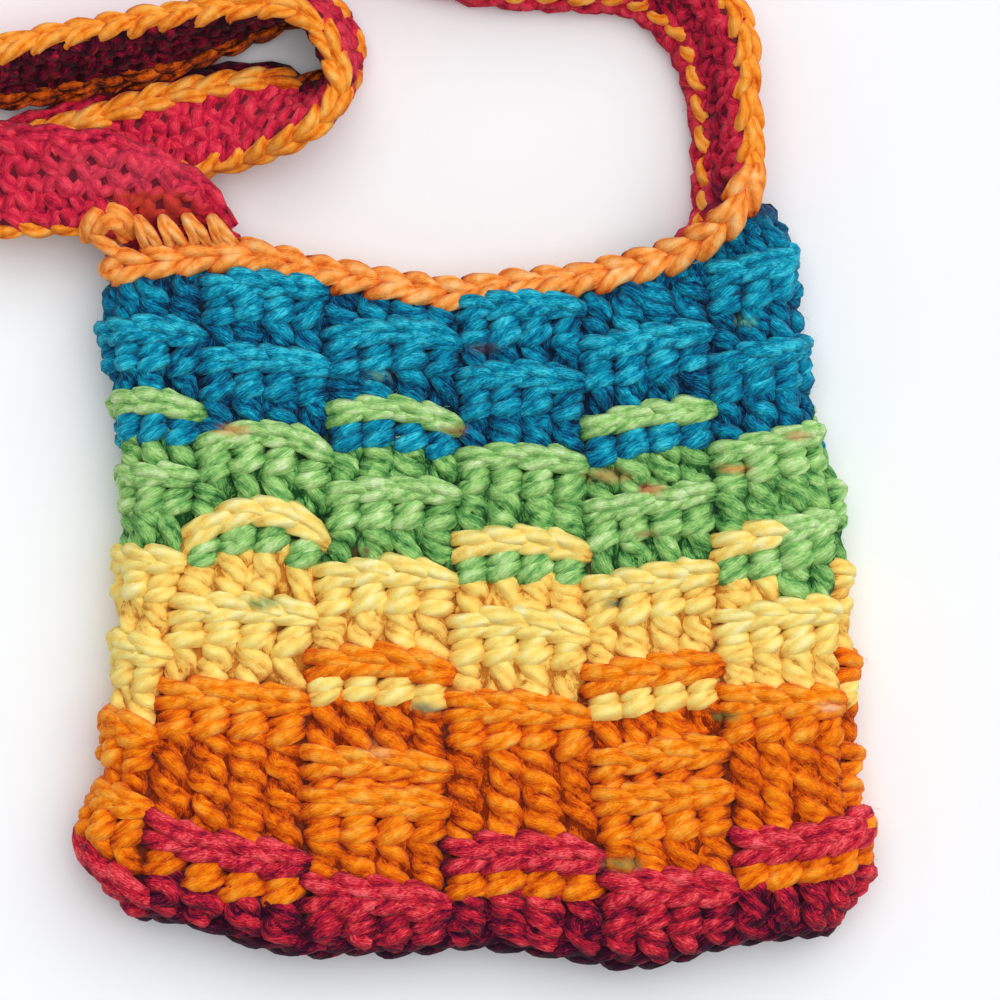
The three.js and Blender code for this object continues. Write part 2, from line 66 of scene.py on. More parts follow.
# Each strand starts at another place of a long yarn, so that no two look the same.
STRAND_SHIFT = 37.7
BATCH_SHIFT = 7
YARN_LENGTH = 977

Array = np.ndarray
Colour = tuple[int, int, int]
Table = tuple[tuple[float, ...], ...]
Sockets = dict[str | int, object]
# The height of a line along a block, by the share of the block's width.
HeightLine = Callable[[float], float]


class Hue(Enum):
    """The yarns of the bag."""

    MAGENTA = "magenta"
    ORANGE = "orange"
    YELLOW = "yellow"
    GREEN = "green"
    TEAL = "teal"
    EDGING = "edging"
    TRIM = "trim"
    CRIMSON = "crimson"


def linear(colour: Colour) -> tuple[float, float, float, float]:
    """A screen colour of three bytes as the linear colour of a shader.

    Args:
        colour: Red, green and blue from 0 to 255.

    Returns:
        Red, green, blue and a full alpha.
    """
    shares = [part / 255 for part in colour]
    red, green, blue = (p / 12.92 if p <= 0.04045 else ((p + 0.055) / 1.055) ** 2.4 for p in shares)
    return red, green, blue, 1.0


def photo_y(row: float) -> float:
    """The height on the bag, in millimetres, of a row of the photo."""
    return (PHOTO_MIDDLE[1] - row) * PHOTO_SCALE


def photo_x(column: float) -> float:
    """The place across the bag, in millimetres, of a column of the photo."""
    return (column - PHOTO_MIDDLE[0]) * PHOTO_SCALE


def smooth_column(keys: Sequence[float], values: Sequence[float]) -> Callable[[Array], Array]:
    """A smooth curve through one column of a table, held level past its ends.

    Args:
        keys: The rising places of the rows.
        values: The column's value in each row.

    Returns:
        A function that gives the value at any place.
    """
    at, value = np.asarray(keys, float), np.asarray(values, float)
    order = np.arange(len(at))
    before, after = np.maximum(order - 1, 0), np.minimum(order + 1, len(at) - 1)
    slope = (value[after] - value[before]) / (at[after] - at[before])

    def curve(place: Array) -> Array:
        """The column's value.

        Args:
            place: The places.

        Returns:
            The value at each place.
        """
        x = np.clip(np.asarray(place, float), at[0], at[-1])
        i = np.clip(np.searchsorted(at, x, side="right") - 1, 0, len(at) - 2)
        span = at[i + 1] - at[i]
        t = (x - at[i]) / span
        rest = 1 - t
        ends = rest * rest * (1 + 2 * t) * value[i] + t * t * (3 - 2 * t) * value[i + 1]
        return ends + t * rest * span * (rest * slope[i] - t * slope[i + 1])

    return curve


def smooth_columns(rows: Table) -> list[Callable[[Array], Array]]:
    """Smooth curves through a table's columns, by the places in its first column."""
    places, *columns = zip(*rows)
    return [smooth_column(places, column) for column in columns]


def unit(vectors: Array) -> Array:
    """Directions of length 1."""
    return vectors / np.linalg.norm(vectors, axis=-1, keepdims=True)


def lengths_along(points: Array) -> Array:
    """How far along a line each of its points is."""
    steps = np.linalg.norm(np.diff(points, axis=0), axis=1)
    return np.concatenate([[0.0], np.cumsum(steps)])


def pick(length: Array, lengths: Array, *tables: Array) -> list[Array]:
    """Vectors at places along a line.

    Args:
        length: The places, as lengths along the line.
        lengths: The length at each of the tables' rows.
        *tables: Tables of vectors, one row for each point of the line.

    Returns:
        One array of vectors for each table.
    """
    return [
        np.stack([np.interp(length, lengths, table[:, axis]) for axis in range(3)], axis=-1)
        for table in tables
    ]


def rounding(count: int, steps: float) -> Array:
    """Weights that turn a strand's few points into a smooth line.

    Args:
        count: How many points the strand has.
        steps: How many steps go from one of them to the next, on average.

    Returns:
        One row of weights for each point of the smooth line.
    """
    rows = np.zeros((round((count - 1) * steps) + 1, count))
    for k in range(len(rows)):
        i = min(int(k / steps), count - 2)
        t = k / steps - i
        shares = (
            -t * (1 - t) ** 2 / 2,
            1 + t * t * (3 * t - 5) / 2,
            t * (1 + t * (4 - 3 * t)) / 2,
            -t * t * (1 - t) / 2,
        )
        for offset, share in zip((-1, 0, 1, 2), shares):
            rows[k, min(max(i + offset, 0), count - 1)] += share
    return rows


class Wire:
    """A node's output that Python's operators work on. Each operation adds a Math node."""

    def __init__(self, graph: Graph, socket: bpy.types.NodeSocket) -> None:
        """Keeps the socket and the graph that it belongs to."""
        self.graph = graph
        self.socket = socket

    def __add__(self, other: Wire | float) -> Wire:
        """The sum of two values."""
        return self.graph.math("ADD", self, other)

    def __sub__(self, other: Wire | float) -> Wire:
        """The difference of two values."""
        return self.graph.math("SUBTRACT", self, other)

    def __rsub__(self, other: float) -> Wire:
        """A number less this value."""
        return self.graph.math("SUBTRACT", other, self)

    def __mul__(self, other: Wire | float) -> Wire:
        """The product of two values."""
        return self.graph.math("MULTIPLY", self, other)

    def __truediv__(self, other: Wire | float) -> Wire:
        """The ratio of two values."""
        return self.graph.math("DIVIDE", self, other)

    __radd__ = __add__
    __rmul__ = __mul__


@dataclass
class Graph:
    """A node tree that is built from Python expressions."""

    tree: bpy.types.NodeTree

    def node(self, kind: str, sockets: Sockets | None = None, **settings: object) -> bpy.types.Node:
        """Adds a node of any type.

        Args:
            kind: The node's type.
            sockets: The value or link of each input that is set.
            **settings: The node's own settings, or a ramp's stops, which are set first.

        Returns:
            The new node.
        """
        node = self.tree.nodes.new(kind)
        for name, value in settings.items():
            if name == "stops":
                self.set_stops(node.color_ramp, value)
            else:
                setattr(node, name, value)
        self.feed(node, sockets or {})
        return node

    def feed(self, node: bpy.types.Node, sockets: Sockets) -> None:
        """Sets or links a node's inputs.

        Args:
            node: The node.
            sockets: The value or link of each input that is set.
        """
        for key, value in sockets.items():
            if isinstance(value, Wire):
                self.tree.links.new(value.socket, node.inputs[key])
            else:
                node.inputs[key].default_value = value

    def wire(self, kind: str, output: str | int, sockets: Sockets | None = None, **settings: object) -> Wire:
        """Adds a node and gives one of its outputs.

        Args:
            kind: The node's type.
            output: The name or number of the output.
            sockets: The value or link of each input that is set.
            **settings: The node's own settings.

        Returns:
            The output.
        """
        return Wire(self, self.node(kind, sockets, **settings).outputs[output])

    def math(self, operation: str, *values: Wire | float) -> Wire:
        """One Math node on values or numbers."""
        return self.wire("ShaderNodeMath", "Value", dict(enumerate(values)), operation=operation)

    def carried(self, name: str) -> Wire:
        """A number that a geometry carries at its points."""
        return self.wire("GeometryNodeInputNamedAttribute", "Attribute", {"Name": name}, data_type="FLOAT")

    def store(self, geometry: Wire, name: str, value: Wire, data_type: str) -> Wire:
        """Writes a value to each point of a geometry.

        Args:
            geometry: The geometry.
            name: The name that the value gets.
            value: The value.
            data_type: Whether it is a number or a vector.

        Returns:
            The geometry with the value.
        """
        sockets = {"Geometry": geometry, "Name": name, "Value": value}
        settings = {"data_type": data_type, "domain": "POINT"}
        return self.wire("GeometryNodeStoreNamedAttribute", "Geometry", sockets, **settings)

    @staticmethod
    def set_stops(ramp: bpy.types.ColorRamp, stops: Sequence[tuple[float, Sequence[float]]]) -> None:
        """Gives a ramp its places and colours.

        Args:
            ramp: The ramp.
            stops: The place and the colour of each stop.
        """
        while len(ramp.elements) < len(stops):
            ramp.elements.new(1.0)
        for element, (place, colour) in zip(ramp.elements, stops):
            element.position = place
            element.color = colour


class Surface:
    """A new material with the graph that feeds its main shader."""

    def __init__(self, name: str) -> None:
        """Makes the material.

        Args:
            name: The material's name.
        """
        self.material = bpy.data.materials.new(name)
        self.material.use_nodes = True
        self.graph = Graph(self.material.node_tree)

    def feed(self, sockets: Sockets) -> bpy.types.Material:
        """Sets or links the main shader's inputs and gives the material."""
        self.graph.feed(self.graph.tree.nodes["Principled BSDF"], sockets)
        return self.material


@dataclass(frozen=True)
class YarnFinish:
    """Soft plied yarn: four tones of one colour, the deeper ones mostly for painted shade, and how much its
    fibres streak it.
    """

    name: str
    deep: Colour
    dark: Colour
    middle: Colour
    light: Colour
    streaks: float = 1.0
    shade_places: tuple[float, ...] = (0.0, 0.24, 0.6, 0.96)
    base_shade: float = 0.65
    streak_shade: float = 1.15
    patch_shade: float = 0.7
    ply_shade: float = 0.05
    groove_shade: float = 0.3
    # How far the painted shade of deep yarn, and of yarn in the strap's fold, darkens its colour.
    painted_shade_strength: float = 0.8
    patch_scales: tuple[float, float] = (0.13, 0.4)
    fibre_width: float = 8.0
    fibre_length: float = 0.65
    fleck_least: float = 0.3
    fleck_streak: float = 1.4
    bump_reach: float = 0.5
    bump_strength: float = 0.75
    roughness: float = 0.92
    gloss: float = 0.15
    sheen: float = 0.05
    sheen_roughness: float = 0.45

    def material(self) -> bpy.types.Material:
        """Makes the yarn's material, which reads the strands' own coordinates.

        Returns:
            The new material.
        """
        surface = Surface(f"{self.name}_yarn")
        graph = surface.graph
        fibre = graph.wire("ShaderNodeAttribute", "Vector", attribute_name="fibre")
        streak = self.streak(graph, fibre)
        patches = [
            graph.wire("ShaderNodeTexNoise", "Fac", {"Vector": fibre, "Scale": scale, "Detail": 2.0})
            for scale in self.patch_scales
        ]
        plies = self.plies(graph)
        # Painted shade: the grooves between the plies and the yarn that lies deep are darkened.
        groove = graph.math("MAXIMUM", plies * -2.0 - 1.0, 0.0) * streak
        painted_shade = graph.wire("ShaderNodeAttribute", "Fac", attribute_name="painted_shade")
        shade = self.base_shade + (streak - 0.5) * (self.streak_shade * self.streaks)
        for patch in patches:
            shade = shade + (patch - 0.5) * self.patch_shade
        shade = shade + plies * self.ply_shade - groove * self.groove_shade - painted_shade * self.painted_shade_strength
        tones = (self.deep, self.dark, self.middle, self.light)
        stops = [(place, linear(tone)) for place, tone in zip(self.shade_places, tones)]
        colour = graph.wire("ShaderNodeValToRGB", "Color", {"Fac": shade}, stops=stops)
        fleck = graph.node("ShaderNodeAttribute", attribute_name="fleck")
        cover = Wire(graph, fleck.outputs["Alpha"]) * (self.fleck_least + self.fleck_streak * streak)
        layers = {0: cover, 6: colour, 7: Wire(graph, fleck.outputs["Color"])}
        mixed = graph.wire("ShaderNodeMix", 2, layers, data_type="RGBA")
        relief = {
            "Strength": self.bump_strength,
            "Distance": self.bump_reach * MM,
            "Height": plies + streak,
        }
        sockets = {
            "Base Color": mixed,
            "Normal": graph.wire("ShaderNodeBump", "Normal", relief),
            "Roughness": self.roughness,
            "Specular IOR Level": self.gloss,
            "Sheen Weight": self.sheen,
            "Sheen Roughness": self.sheen_roughness,
        }
        return surface.feed(sockets)

    def streak(self, graph: Graph, fibre: Wire) -> Wire:
        """Fine streaks that run with the fibres.

        Args:
            graph: The material's graph.
            fibre: The strands' coordinates: the way round as a cosine and a sine, and the length.

        Returns:
            The streaks, from 0 to 1.
        """
        size = (self.fibre_width, self.fibre_width, self.fibre_length)
        vector = graph.wire("ShaderNodeVectorMath", "Vector", {0: fibre, 1: size}, operation="MULTIPLY")
        sockets = {"Vector": vector, "Scale": 1.0, "Detail": 4.0, "Roughness": 0.62}
        return graph.wire("ShaderNodeTexNoise", "Fac", sockets)

    @staticmethod
    def plies(graph: Graph) -> Wire:
        """The three plies of the yarn, as a wave round the strand.

        Args:
            graph: The material's graph.

        Returns:
            The wave, from -1 in the grooves to 1 on the plies.
        """
        ply = graph.wire("ShaderNodeAttribute", "Vector", attribute_name="ply")
        unit_ply = graph.wire("ShaderNodeVectorMath", "Vector", {0: ply}, operation="NORMALIZE")
        turn = graph.wire("ShaderNodeSeparateXYZ", "X", {"Vector": unit_ply})
        return 4 * turn * turn * turn - 3 * turn


# Each yarn's tones from the deepest to the lightest, and how strongly its fibres streak it. The deep tones
# are mostly painted shade, where yarn lies deep in the work or in the strap's fold.
SHADES: dict[Hue, tuple[Colour, Colour, Colour, Colour, float]] = {
    Hue.MAGENTA: ((38, 0, 26), (98, 6, 44), (210, 32, 52), (255, 106, 112), 1.5),
    Hue.ORANGE: ((122, 36, 0), (214, 84, 0), (253, 140, 6), (255, 192, 80), 1.1),
    Hue.YELLOW: ((190, 118, 34), (248, 198, 94), (255, 230, 126), (255, 248, 188), 0.75),
    Hue.GREEN: ((22, 70, 30), (88, 152, 78), (164, 213, 123), (226, 246, 192), 1.1),
    Hue.TEAL: ((0, 26, 56), (0, 76, 118), (0, 148, 180), (66, 212, 232), 1.5),
    Hue.EDGING: ((120, 40, 6), (214, 92, 20), (254, 158, 66), (255, 208, 140), 0.8),
    Hue.TRIM: ((64, 18, 8), (212, 86, 6), (254, 154, 42), (255, 200, 108), 0.8),
    Hue.CRIMSON: ((34, 0, 16), (104, 4, 38), (214, 32, 66), (250, 78, 98), 1.0),
}
FINISHES = {hue: YarnFinish(hue.value, *shades) for hue, shades in SHADES.items()}


@dataclass(frozen=True)
class Fleck:
    """A patch of another colour that the yarn carries, at a place of the photo."""

    column: float
    row: float
    reach: float
    colour: Colour
    strength: float = 0.8
    wide: float = 2.6
    tall: float = 0.75
    least_height: float = 14.0

    def cover(self, points: Array) -> Array:
        """How much of the patch lies on each point.

        Args:
            points: The points of the yarn, in millimetres.

        Returns:
            The patch's share of the colour there, from 0 to its strength.
        """
        away = np.hypot(
            (points[:, 0] - photo_x(self.column)) / self.wide,
            (points[:, 1] - photo_y(self.row)) / self.tall,
        )
        share = np.clip(1 - away / self.reach, 0, 1)
        return self.strength * share * (2 - share) * (points[:, 2] > self.least_height)


class YarnSweep:
    """Geometry Nodes that sweep yarn along the edges of a mesh, with loose fibres on it."""

    inputs = {
        "Strands": "NodeSocketGeometry",
        "Sides": "NodeSocketInt",
        "Ply turns": "NodeSocketFloat",
        "Fibre turns": "NodeSocketFloat",
        "Fuzz density": "NodeSocketFloat",
        "Fuzz length": "NodeSocketFloat",
        "Finish": "NodeSocketMaterial",
    }
    # Loose fibres stay off yarn with deep painted shade and off what lies near the surface under the bag.
    deepest_fuzz = 0.45
    lowest_fuzz = 2.5
    # A fibre of length 1: its bend, half its width, how far it tilts and its shortest and longest size.
    fibre_bend = {
        "Resolution": 2,
        "Start": (0, 0, -0.1),
        "Start Handle": (0, 0, 0.3),
        "End Handle": (0.3, 0, 0.6),
        "End": (0.85, 0.1, 0.55),
    }
    fibre_half = 0.016
    fibre_tilt = 0.5
    fibre_sizes = (0.5, 1.4)

    def __init__(self) -> None:
        """Builds the tree with its named inputs."""
        self.tree = bpy.data.node_groups.new("Yarn sweep", "GeometryNodeTree")
        for name, kind in self.inputs.items():
            self.tree.interface.new_socket(name, in_out="INPUT", socket_type=kind)
        self.tree.interface.new_socket("Yarn", in_out="OUTPUT", socket_type="NodeSocketGeometry")
        graph = Graph(self.tree)
        given = graph.node("NodeGroupInput")
        named = {name: Wire(graph, given.outputs[name]) for name in self.inputs}
        tube = self.tube(graph, named)
        fuzz = self.fuzz(graph, named, tube)
        joined = graph.node("GeometryNodeJoinGeometry")
        for part in (fuzz, tube):
            self.tree.links.new(part.socket, joined.inputs[0])
        real = graph.wire("GeometryNodeRealizeInstances", 0, {0: Wire(graph, joined.outputs[0])})
        dressed = graph.wire("GeometryNodeSetMaterial", 0, {"Geometry": real, "Material": named["Finish"]})
        graph.node("NodeGroupOutput", {"Yarn": dressed})

    @staticmethod
    def tube(graph: Graph, named: dict[str, Wire]) -> Wire:
        """Sweeps a ring along each strand and marks the way round it.

        Args:
            graph: The tree.
            named: The tree's inputs.

        Returns:
            The swept yarn.
        """
        thick, run, around = (graph.carried(name) for name in ("thick", "run", "around"))
        curve = graph.wire("GeometryNodeMeshToCurve", "Curve", {"Mesh": named["Strands"]})
        ring = {"Resolution": named["Sides"], "Radius": 1.0}
        circle = graph.wire("GeometryNodeCurvePrimitiveCircle", "Curve", ring)
        index = graph.wire("GeometryNodeInputIndex", "Index")
        marked = graph.store(circle, "around", index * TAU / named["Sides"], "FLOAT")
        swept = {"Curve": curve, "Profile Curve": marked, "Scale": thick, "Fill Caps": True}
        mesh = graph.wire("GeometryNodeCurveToMesh", "Mesh", swept)
        for name, turns, length in (("fibre", "Fibre turns", run), ("ply", "Ply turns", 0.0)):
            angle = around + run * named[turns] * TAU
            place = {"X": graph.math("COSINE", angle), "Y": graph.math("SINE", angle), "Z": length}
            vector = graph.wire("ShaderNodeCombineXYZ", "Vector", place)
            mesh = graph.store(mesh, name, vector, "FLOAT_VECTOR")
        return graph.wire("GeometryNodeSetShadeSmooth", 0, {0: mesh})

    def fuzz(self, graph: Graph, named: dict[str, Wire], tube: Wire) -> Wire:
        """Scatters short bent fibres on the yarn.

        Args:
            graph: The tree.
            named: The tree's inputs.
            tube: The yarn.

        Returns:
            The fibres.
        """
        place = graph.wire("GeometryNodeInputPosition", 0)
        height = graph.wire("ShaderNodeSeparateXYZ", "Z", {"Vector": place})
        bare = graph.math("LESS_THAN", graph.carried("painted_shade"), self.deepest_fuzz)
        shows = bare * graph.math("GREATER_THAN", height, self.lowest_fuzz * MM)
        scatter = {"Mesh": tube, "Density": named["Fuzz density"] * shows, "Seed": SEED}
        spread = graph.node("GeometryNodeDistributePointsOnFaces", scatter)
        bend = graph.wire("GeometryNodeCurvePrimitiveBezierSegment", "Curve", self.fibre_bend)
        width = {"Start": (-self.fibre_half, 0, 0), "End": (self.fibre_half, 0, 0)}
        blade = graph.wire("GeometryNodeCurvePrimitiveLine", "Curve", width)
        hair = graph.wire("GeometryNodeCurveToMesh", "Mesh", {"Curve": bend, "Profile Curve": blade})
        tilt = self.fibre_tilt
        turns = {0: (-tilt, -tilt, 0.0), 1: (tilt, tilt, TAU), "Seed": SEED + 1}
        turn = graph.wire("FunctionNodeRandomValue", 0, turns, data_type="FLOAT_VECTOR")
        euler = graph.wire("FunctionNodeEulerToRotation", 0, {0: turn})
        turned = {"Rotation": Wire(graph, spread.outputs["Rotation"]), "Rotate By": euler}
        rotation = graph.wire("FunctionNodeRotateRotation", 0, turned, rotation_space="LOCAL")
        sizes = dict(zip((2, 3), self.fibre_sizes)) | {"Seed": SEED + 2}
        size = graph.wire("FunctionNodeRandomValue", 1, sizes, data_type="FLOAT")
        placed = {
            "Points": Wire(graph, spread.outputs["Points"]),
            "Instance": hair,
            "Rotation": rotation,
            "Scale": size * named["Fuzz length"],
        }
        return graph.wire("GeometryNodeInstanceOnPoints", 0, placed)

    def apply(self, piece: bpy.types.Object, values: dict[str, object]) -> None:
        """Turns a piece of bare strands into a plain mesh of yarn.

        Args:
            piece: The object that holds the strands.
            values: The tree's inputs by name.
        """
        modifier = piece.modifiers.new("Yarn sweep", "NODES")
        modifier.node_group = self.tree
        for item in self.tree.interface.items_tree:
            if item.in_out == "INPUT" and item.name in values:
                modifier[item.identifier] = values[item.name]
        depsgraph = bpy.context.evaluated_depsgraph_get()
        swept = bpy.data.meshes.new_from_object(
            piece.evaluated_get(depsgraph), preserve_all_data_layers=True, depsgraph=depsgraph
        )
        piece.modifiers.remove(modifier)
        bare = piece.data
        piece.data = swept
        bpy.data.meshes.remove(bare)


@dataclass
class Skein:
    """The strands of one piece, gathered before they are swept."""

    name: str
    hue: Hue
    sides: int = 8
    steps: float = 2
    ply_turns: float = 0.03
    fibre_turns: float = 0.022
    uneven: float = 0.06
    uneven_pace: float = 0.75
    fuzz_density: float = 26000.0
    fuzz_length: float = 1.9
    points: list[Array] = field(default_factory=list)
    radii: list[Array] = field(default_factory=list)
    runs: list[Array] = field(default_factory=list)
    painted_shades: list[Array] = field(default_factory=list)

    def add(
        self,
        control: Array,
        radius: Array | float,
        painted_shade: Array | float,
        blunt: float = 0.8,
        steps: float | None = None,
    ) -> None:
        """Adds strands that all have the same number of points.

        Args:
            control: The strands' points, as strands by points by three.
            radius: The yarn's radius, for all strands, for each one or for each of their points.
            painted_shade: The painted shade at each point, from 0 to 1, which darkens the yarn where it lies
                deep in the work or in shade.
            blunt: The share of the radius that is left at the strands' ends.
            steps: The steps between points, where they aren't the skein's own.
        """
        count, knots = control.shape[:2]
        pace = steps or self.steps
        weights = rounding(knots, pace)
        fine = np.einsum("mk,nkc->nmc", weights, control)
        depth = np.broadcast_to(np.asarray(painted_shade, float), (count, knots)) @ weights.T
        from_end = np.minimum(np.arange(len(weights)), np.arange(len(weights))[::-1]) / pace
        taper = blunt + (1 - blunt) * np.clip(from_end, 0, 1)
        radii = np.asarray(radius, float)
        radii = radii[:, None] if radii.ndim == 1 else radii
        thick = (np.broadcast_to(radii, (count, knots)) @ weights.T) * taper
        gaps = np.linalg.norm(np.diff(fine, axis=1), axis=2)
        run = np.concatenate([np.zeros((count, 1)), np.cumsum(gaps, axis=1)], axis=1)
        start = (np.arange(count)[:, None] + len(self.points) * BATCH_SHIFT) * STRAND_SHIFT
        self.points.append(fine)
        self.radii.append(thick * (1 + self.uneven * np.sin(self.uneven_pace * run + start)))
        self.runs.append(run + start % YARN_LENGTH)
        self.painted_shades.append(np.clip(depth, 0, 1))

    def strands(self) -> bpy.types.Mesh:
        """Makes a mesh of edges from the strands, with the marks that the sweep reads.

        Returns:
            The new mesh.
        """
        places = np.concatenate([block.reshape(-1, 3) for block in self.points])
        edges, first = [], 0
        for block in self.points:
            count, knots = block.shape[:2]
            index = first + np.arange(count * knots).reshape(count, knots)
            edges.append(np.stack([index[:, :-1], index[:, 1:]], axis=2).reshape(-1, 2))
            first += count * knots
        pairs = np.concatenate(edges)
        mesh = bpy.data.meshes.new(self.name)
        mesh.vertices.add(len(places))
        mesh.vertices.foreach_set("co", (places * MM).astype(np.float32).ravel())
        mesh.edges.add(len(pairs))
        mesh.edges.foreach_set("vertices", pairs.astype(np.int32).ravel())
        marks = {"thick": self.radii, "run": self.runs, "painted_shade": self.painted_shades}
        for name, blocks in marks.items():
            values = np.concatenate([block.ravel() for block in blocks])
            scale = MM if name == "thick" else 1.0
            data = mesh.attributes.new(name, "FLOAT", "POINT").data
            data.foreach_set("value", (values * scale).astype(np.float32))
        return mesh

    @staticmethod
    def dapple(mesh: bpy.types.Mesh, flecks: Sequence[Fleck]) -> None:
        """Marks patches of other colours on finished yarn.

        Args:
            mesh: The yarn.
            flecks: The patches.
        """
        places = np.empty(3 * len(mesh.vertices), np.float32)
        mesh.vertices.foreach_get("co", places)
        places = places.reshape(-1, 3) / MM
        patches = np.zeros((len(places), 4), np.float32)
        for fleck in flecks:
            cover = fleck.cover(places)
            on = cover > patches[:, 3]
            patches[on, :3] = linear(fleck.colour)[:3]
            patches[on, 3] = cover[on]
        mesh.attributes.new("fleck", "FLOAT_COLOR", "POINT").data.foreach_set("color", patches.ravel())

    def piece(
        self, sweep: YarnSweep, finish: bpy.types.Material, flecks: Sequence[Fleck] = ()
    ) -> bpy.types.Object:
        """Makes the finished piece of yarn.

        Args:
            sweep: The tree that sweeps the strands.
            finish: The yarn's material.
            flecks: The patches of other colours.

        Returns:
            The new object.
        """
        piece = bpy.data.objects.new(self.name, self.strands())
        bpy.context.collection.objects.link(piece)
        values = {
            "Sides": self.sides,
            "Ply turns": self.ply_turns,
            "Fibre turns": self.fibre_turns,
            "Fuzz density": self.fuzz_density,
            "Fuzz length": self.fuzz_length * MM,
            "Finish": finish,
        }
        sweep.apply(piece, values)
        self.dapple(piece.data, flecks)
        return piece


@dataclass
class Line:
    """A smooth line with the direction out of the work at each of its points."""

    points: Array
    outs: Array
    lengths: Array = field(init=False)
    alongs: Array = field(init=False)

    def __post_init__(self) -> None:
        """Measures the line and finds its directions."""
        self.lengths = lengths_along(self.points)
        self.alongs = unit(np.gradient(self.points, self.lengths, axis=0))

    @classmethod
    def through(cls, points: Array, outs: Array, steps: int = 12) -> Line:
        """A smooth line through a few points.

        Args:
            points: The points.
            outs: The direction out of the work at each of them.
            steps: How many steps go from one point to the next.

        Returns:
            The line.
        """
        weights = rounding(len(points), steps)
        return cls(weights @ np.asarray(points, float), weights @ np.asarray(outs, float))

    def at(self, length: Array, aside: Array, out: Array) -> Array:
        """Points beside the line.

        Args:
            length: How far along the line each point is.
            aside: How far it is to the left of the line, seen from outside the work.
            out: How far it stands out of the work.

        Returns:
            The points.
        """
        reach = np.clip(length, 0, self.lengths[-1])
        point, along, normal = pick(reach, self.lengths, self.points, self.alongs, self.outs)
        point = point + along * (length - reach)[..., None]
        normal = unit(normal - along * np.sum(normal * along, axis=-1, keepdims=True))
        left = np.cross(normal, along)
        return point + left * aside[..., None] + normal * out[..., None]


@dataclass(frozen=True)
class ChainStitch:
    """One stitch of a chain: two legs that part from its narrow end, ahead, and dive at its sides."""

    pitch: float = 9.9
    radius: float = 2.5
    spread: float = 1.0
    length_jitter: float = 0.3
    spread_jitter: float = 0.07
    aside_jitter: float = 0.2
    out_jitter: float = 0.15
    # A leg's painted shade starts where it dips below this out and is full this much deeper.
    bare_out: float = 0.3
    deep_out: float = 4.0
    head_points: int = 7
    head_middle: float = 0.32
    head_reach: float = 0.62
    head_aside: float = 1.9
    head_drop: float = 1.2
    # Columns: share of the pitch, aside, out.
    leg: Table = (
        (1.3, 0.1, -3.2),
        (1.1, 0.5, -0.8),
        (0.78, 1.4, 0.5),
        (0.4, 2.6, 0.5),
        (0.1, 3.5, -0.6),
        (-0.1, 3.6, -2.8),
    )

    def along(self, line: Line, start: float, end: float, rng: np.random.Generator) -> Array:
        """The legs of the chain's stitches along a line.

        Args:
            line: The line that the chain lies on.
            start: Where the first stitch starts.
            end: Where the last stitch may end.
            rng: The source of small unevenness.

        Returns:
            The legs' points.
        """
        share, aside, out = np.array(self.leg).T
        first = np.arange(start, end - self.pitch * 0.5, self.pitch)
        shape = (len(first), len(share))
        legs = []
        for side in (1, -1):
            length = first[:, None] + share * self.pitch + rng.normal(0, self.length_jitter, shape)
            wide = side * self.spread * aside * rng.normal(1, self.spread_jitter, (len(first), 1))
            wide = wide + rng.normal(0, self.aside_jitter, shape)
            high = out + rng.normal(0, self.out_jitter, shape)
            legs.append(line.at(length, wide, high))
        return np.concatenate(legs)

    def painted_shade(self) -> Array:
        """The painted shade of each point of a leg, from 0 to 1, by how deep it lies."""
        return np.clip((self.bare_out - np.array(self.leg)[:, 2]) / self.deep_out, 0, 1)

    def head(self, line: Line, start: float) -> Array:
        """The loop that closes the chain's first stitch.

        Args:
            line: The line that the chain lies on.
            start: Where the first stitch starts.

        Returns:
            The loop's points.
        """
        turn = np.linspace(-0.5, 0.5, self.head_points) * math.pi
        length = start + self.pitch * (self.head_middle - self.head_reach * np.cos(turn))
        aside = self.head_aside * self.spread * np.sin(turn)
        return line.at(length, aside, self.bare_out - self.head_drop * np.cos(turn))[None]


ROUND_HUES = {
    "M": Hue.MAGENTA,
    "O": Hue.ORANGE,
    "Y": Hue.YELLOW,
    "G": Hue.GREEN,
    "T": Hue.TEAL,
}

# The rounds from the bottom up, with the level of each and whether it shows on even or on odd blocks.
ROUNDS: tuple[tuple[str, float, int], ...] = (
    ("M1", -88.8, 0),
    ("M2", -74.4, 1),
    ("O1", -59.4, 0),
    ("O2", -48.6, 0),
    ("O3", -29.7, 1),
    ("O4", -20.0, 0),
    ("Y1", -3.6, 1),
    ("Y2", 8.0, 0),
    ("Y3", 21.0, 1),
    ("G1", 33.3, 0),
    ("G2", 47.4, 1),
    ("G3", 56.0, 0),
    ("T1", 71.7, 1),
    ("T2", 80.0, 0),
    ("T3", 90.5, 1),
)

# How wide the bars of each colour are, as a share of the widest.
BAR_WIDTHS = {"M": 1.15, "O": 0.87, "Y": 0.78, "G": 0.62, "T": 0.72}

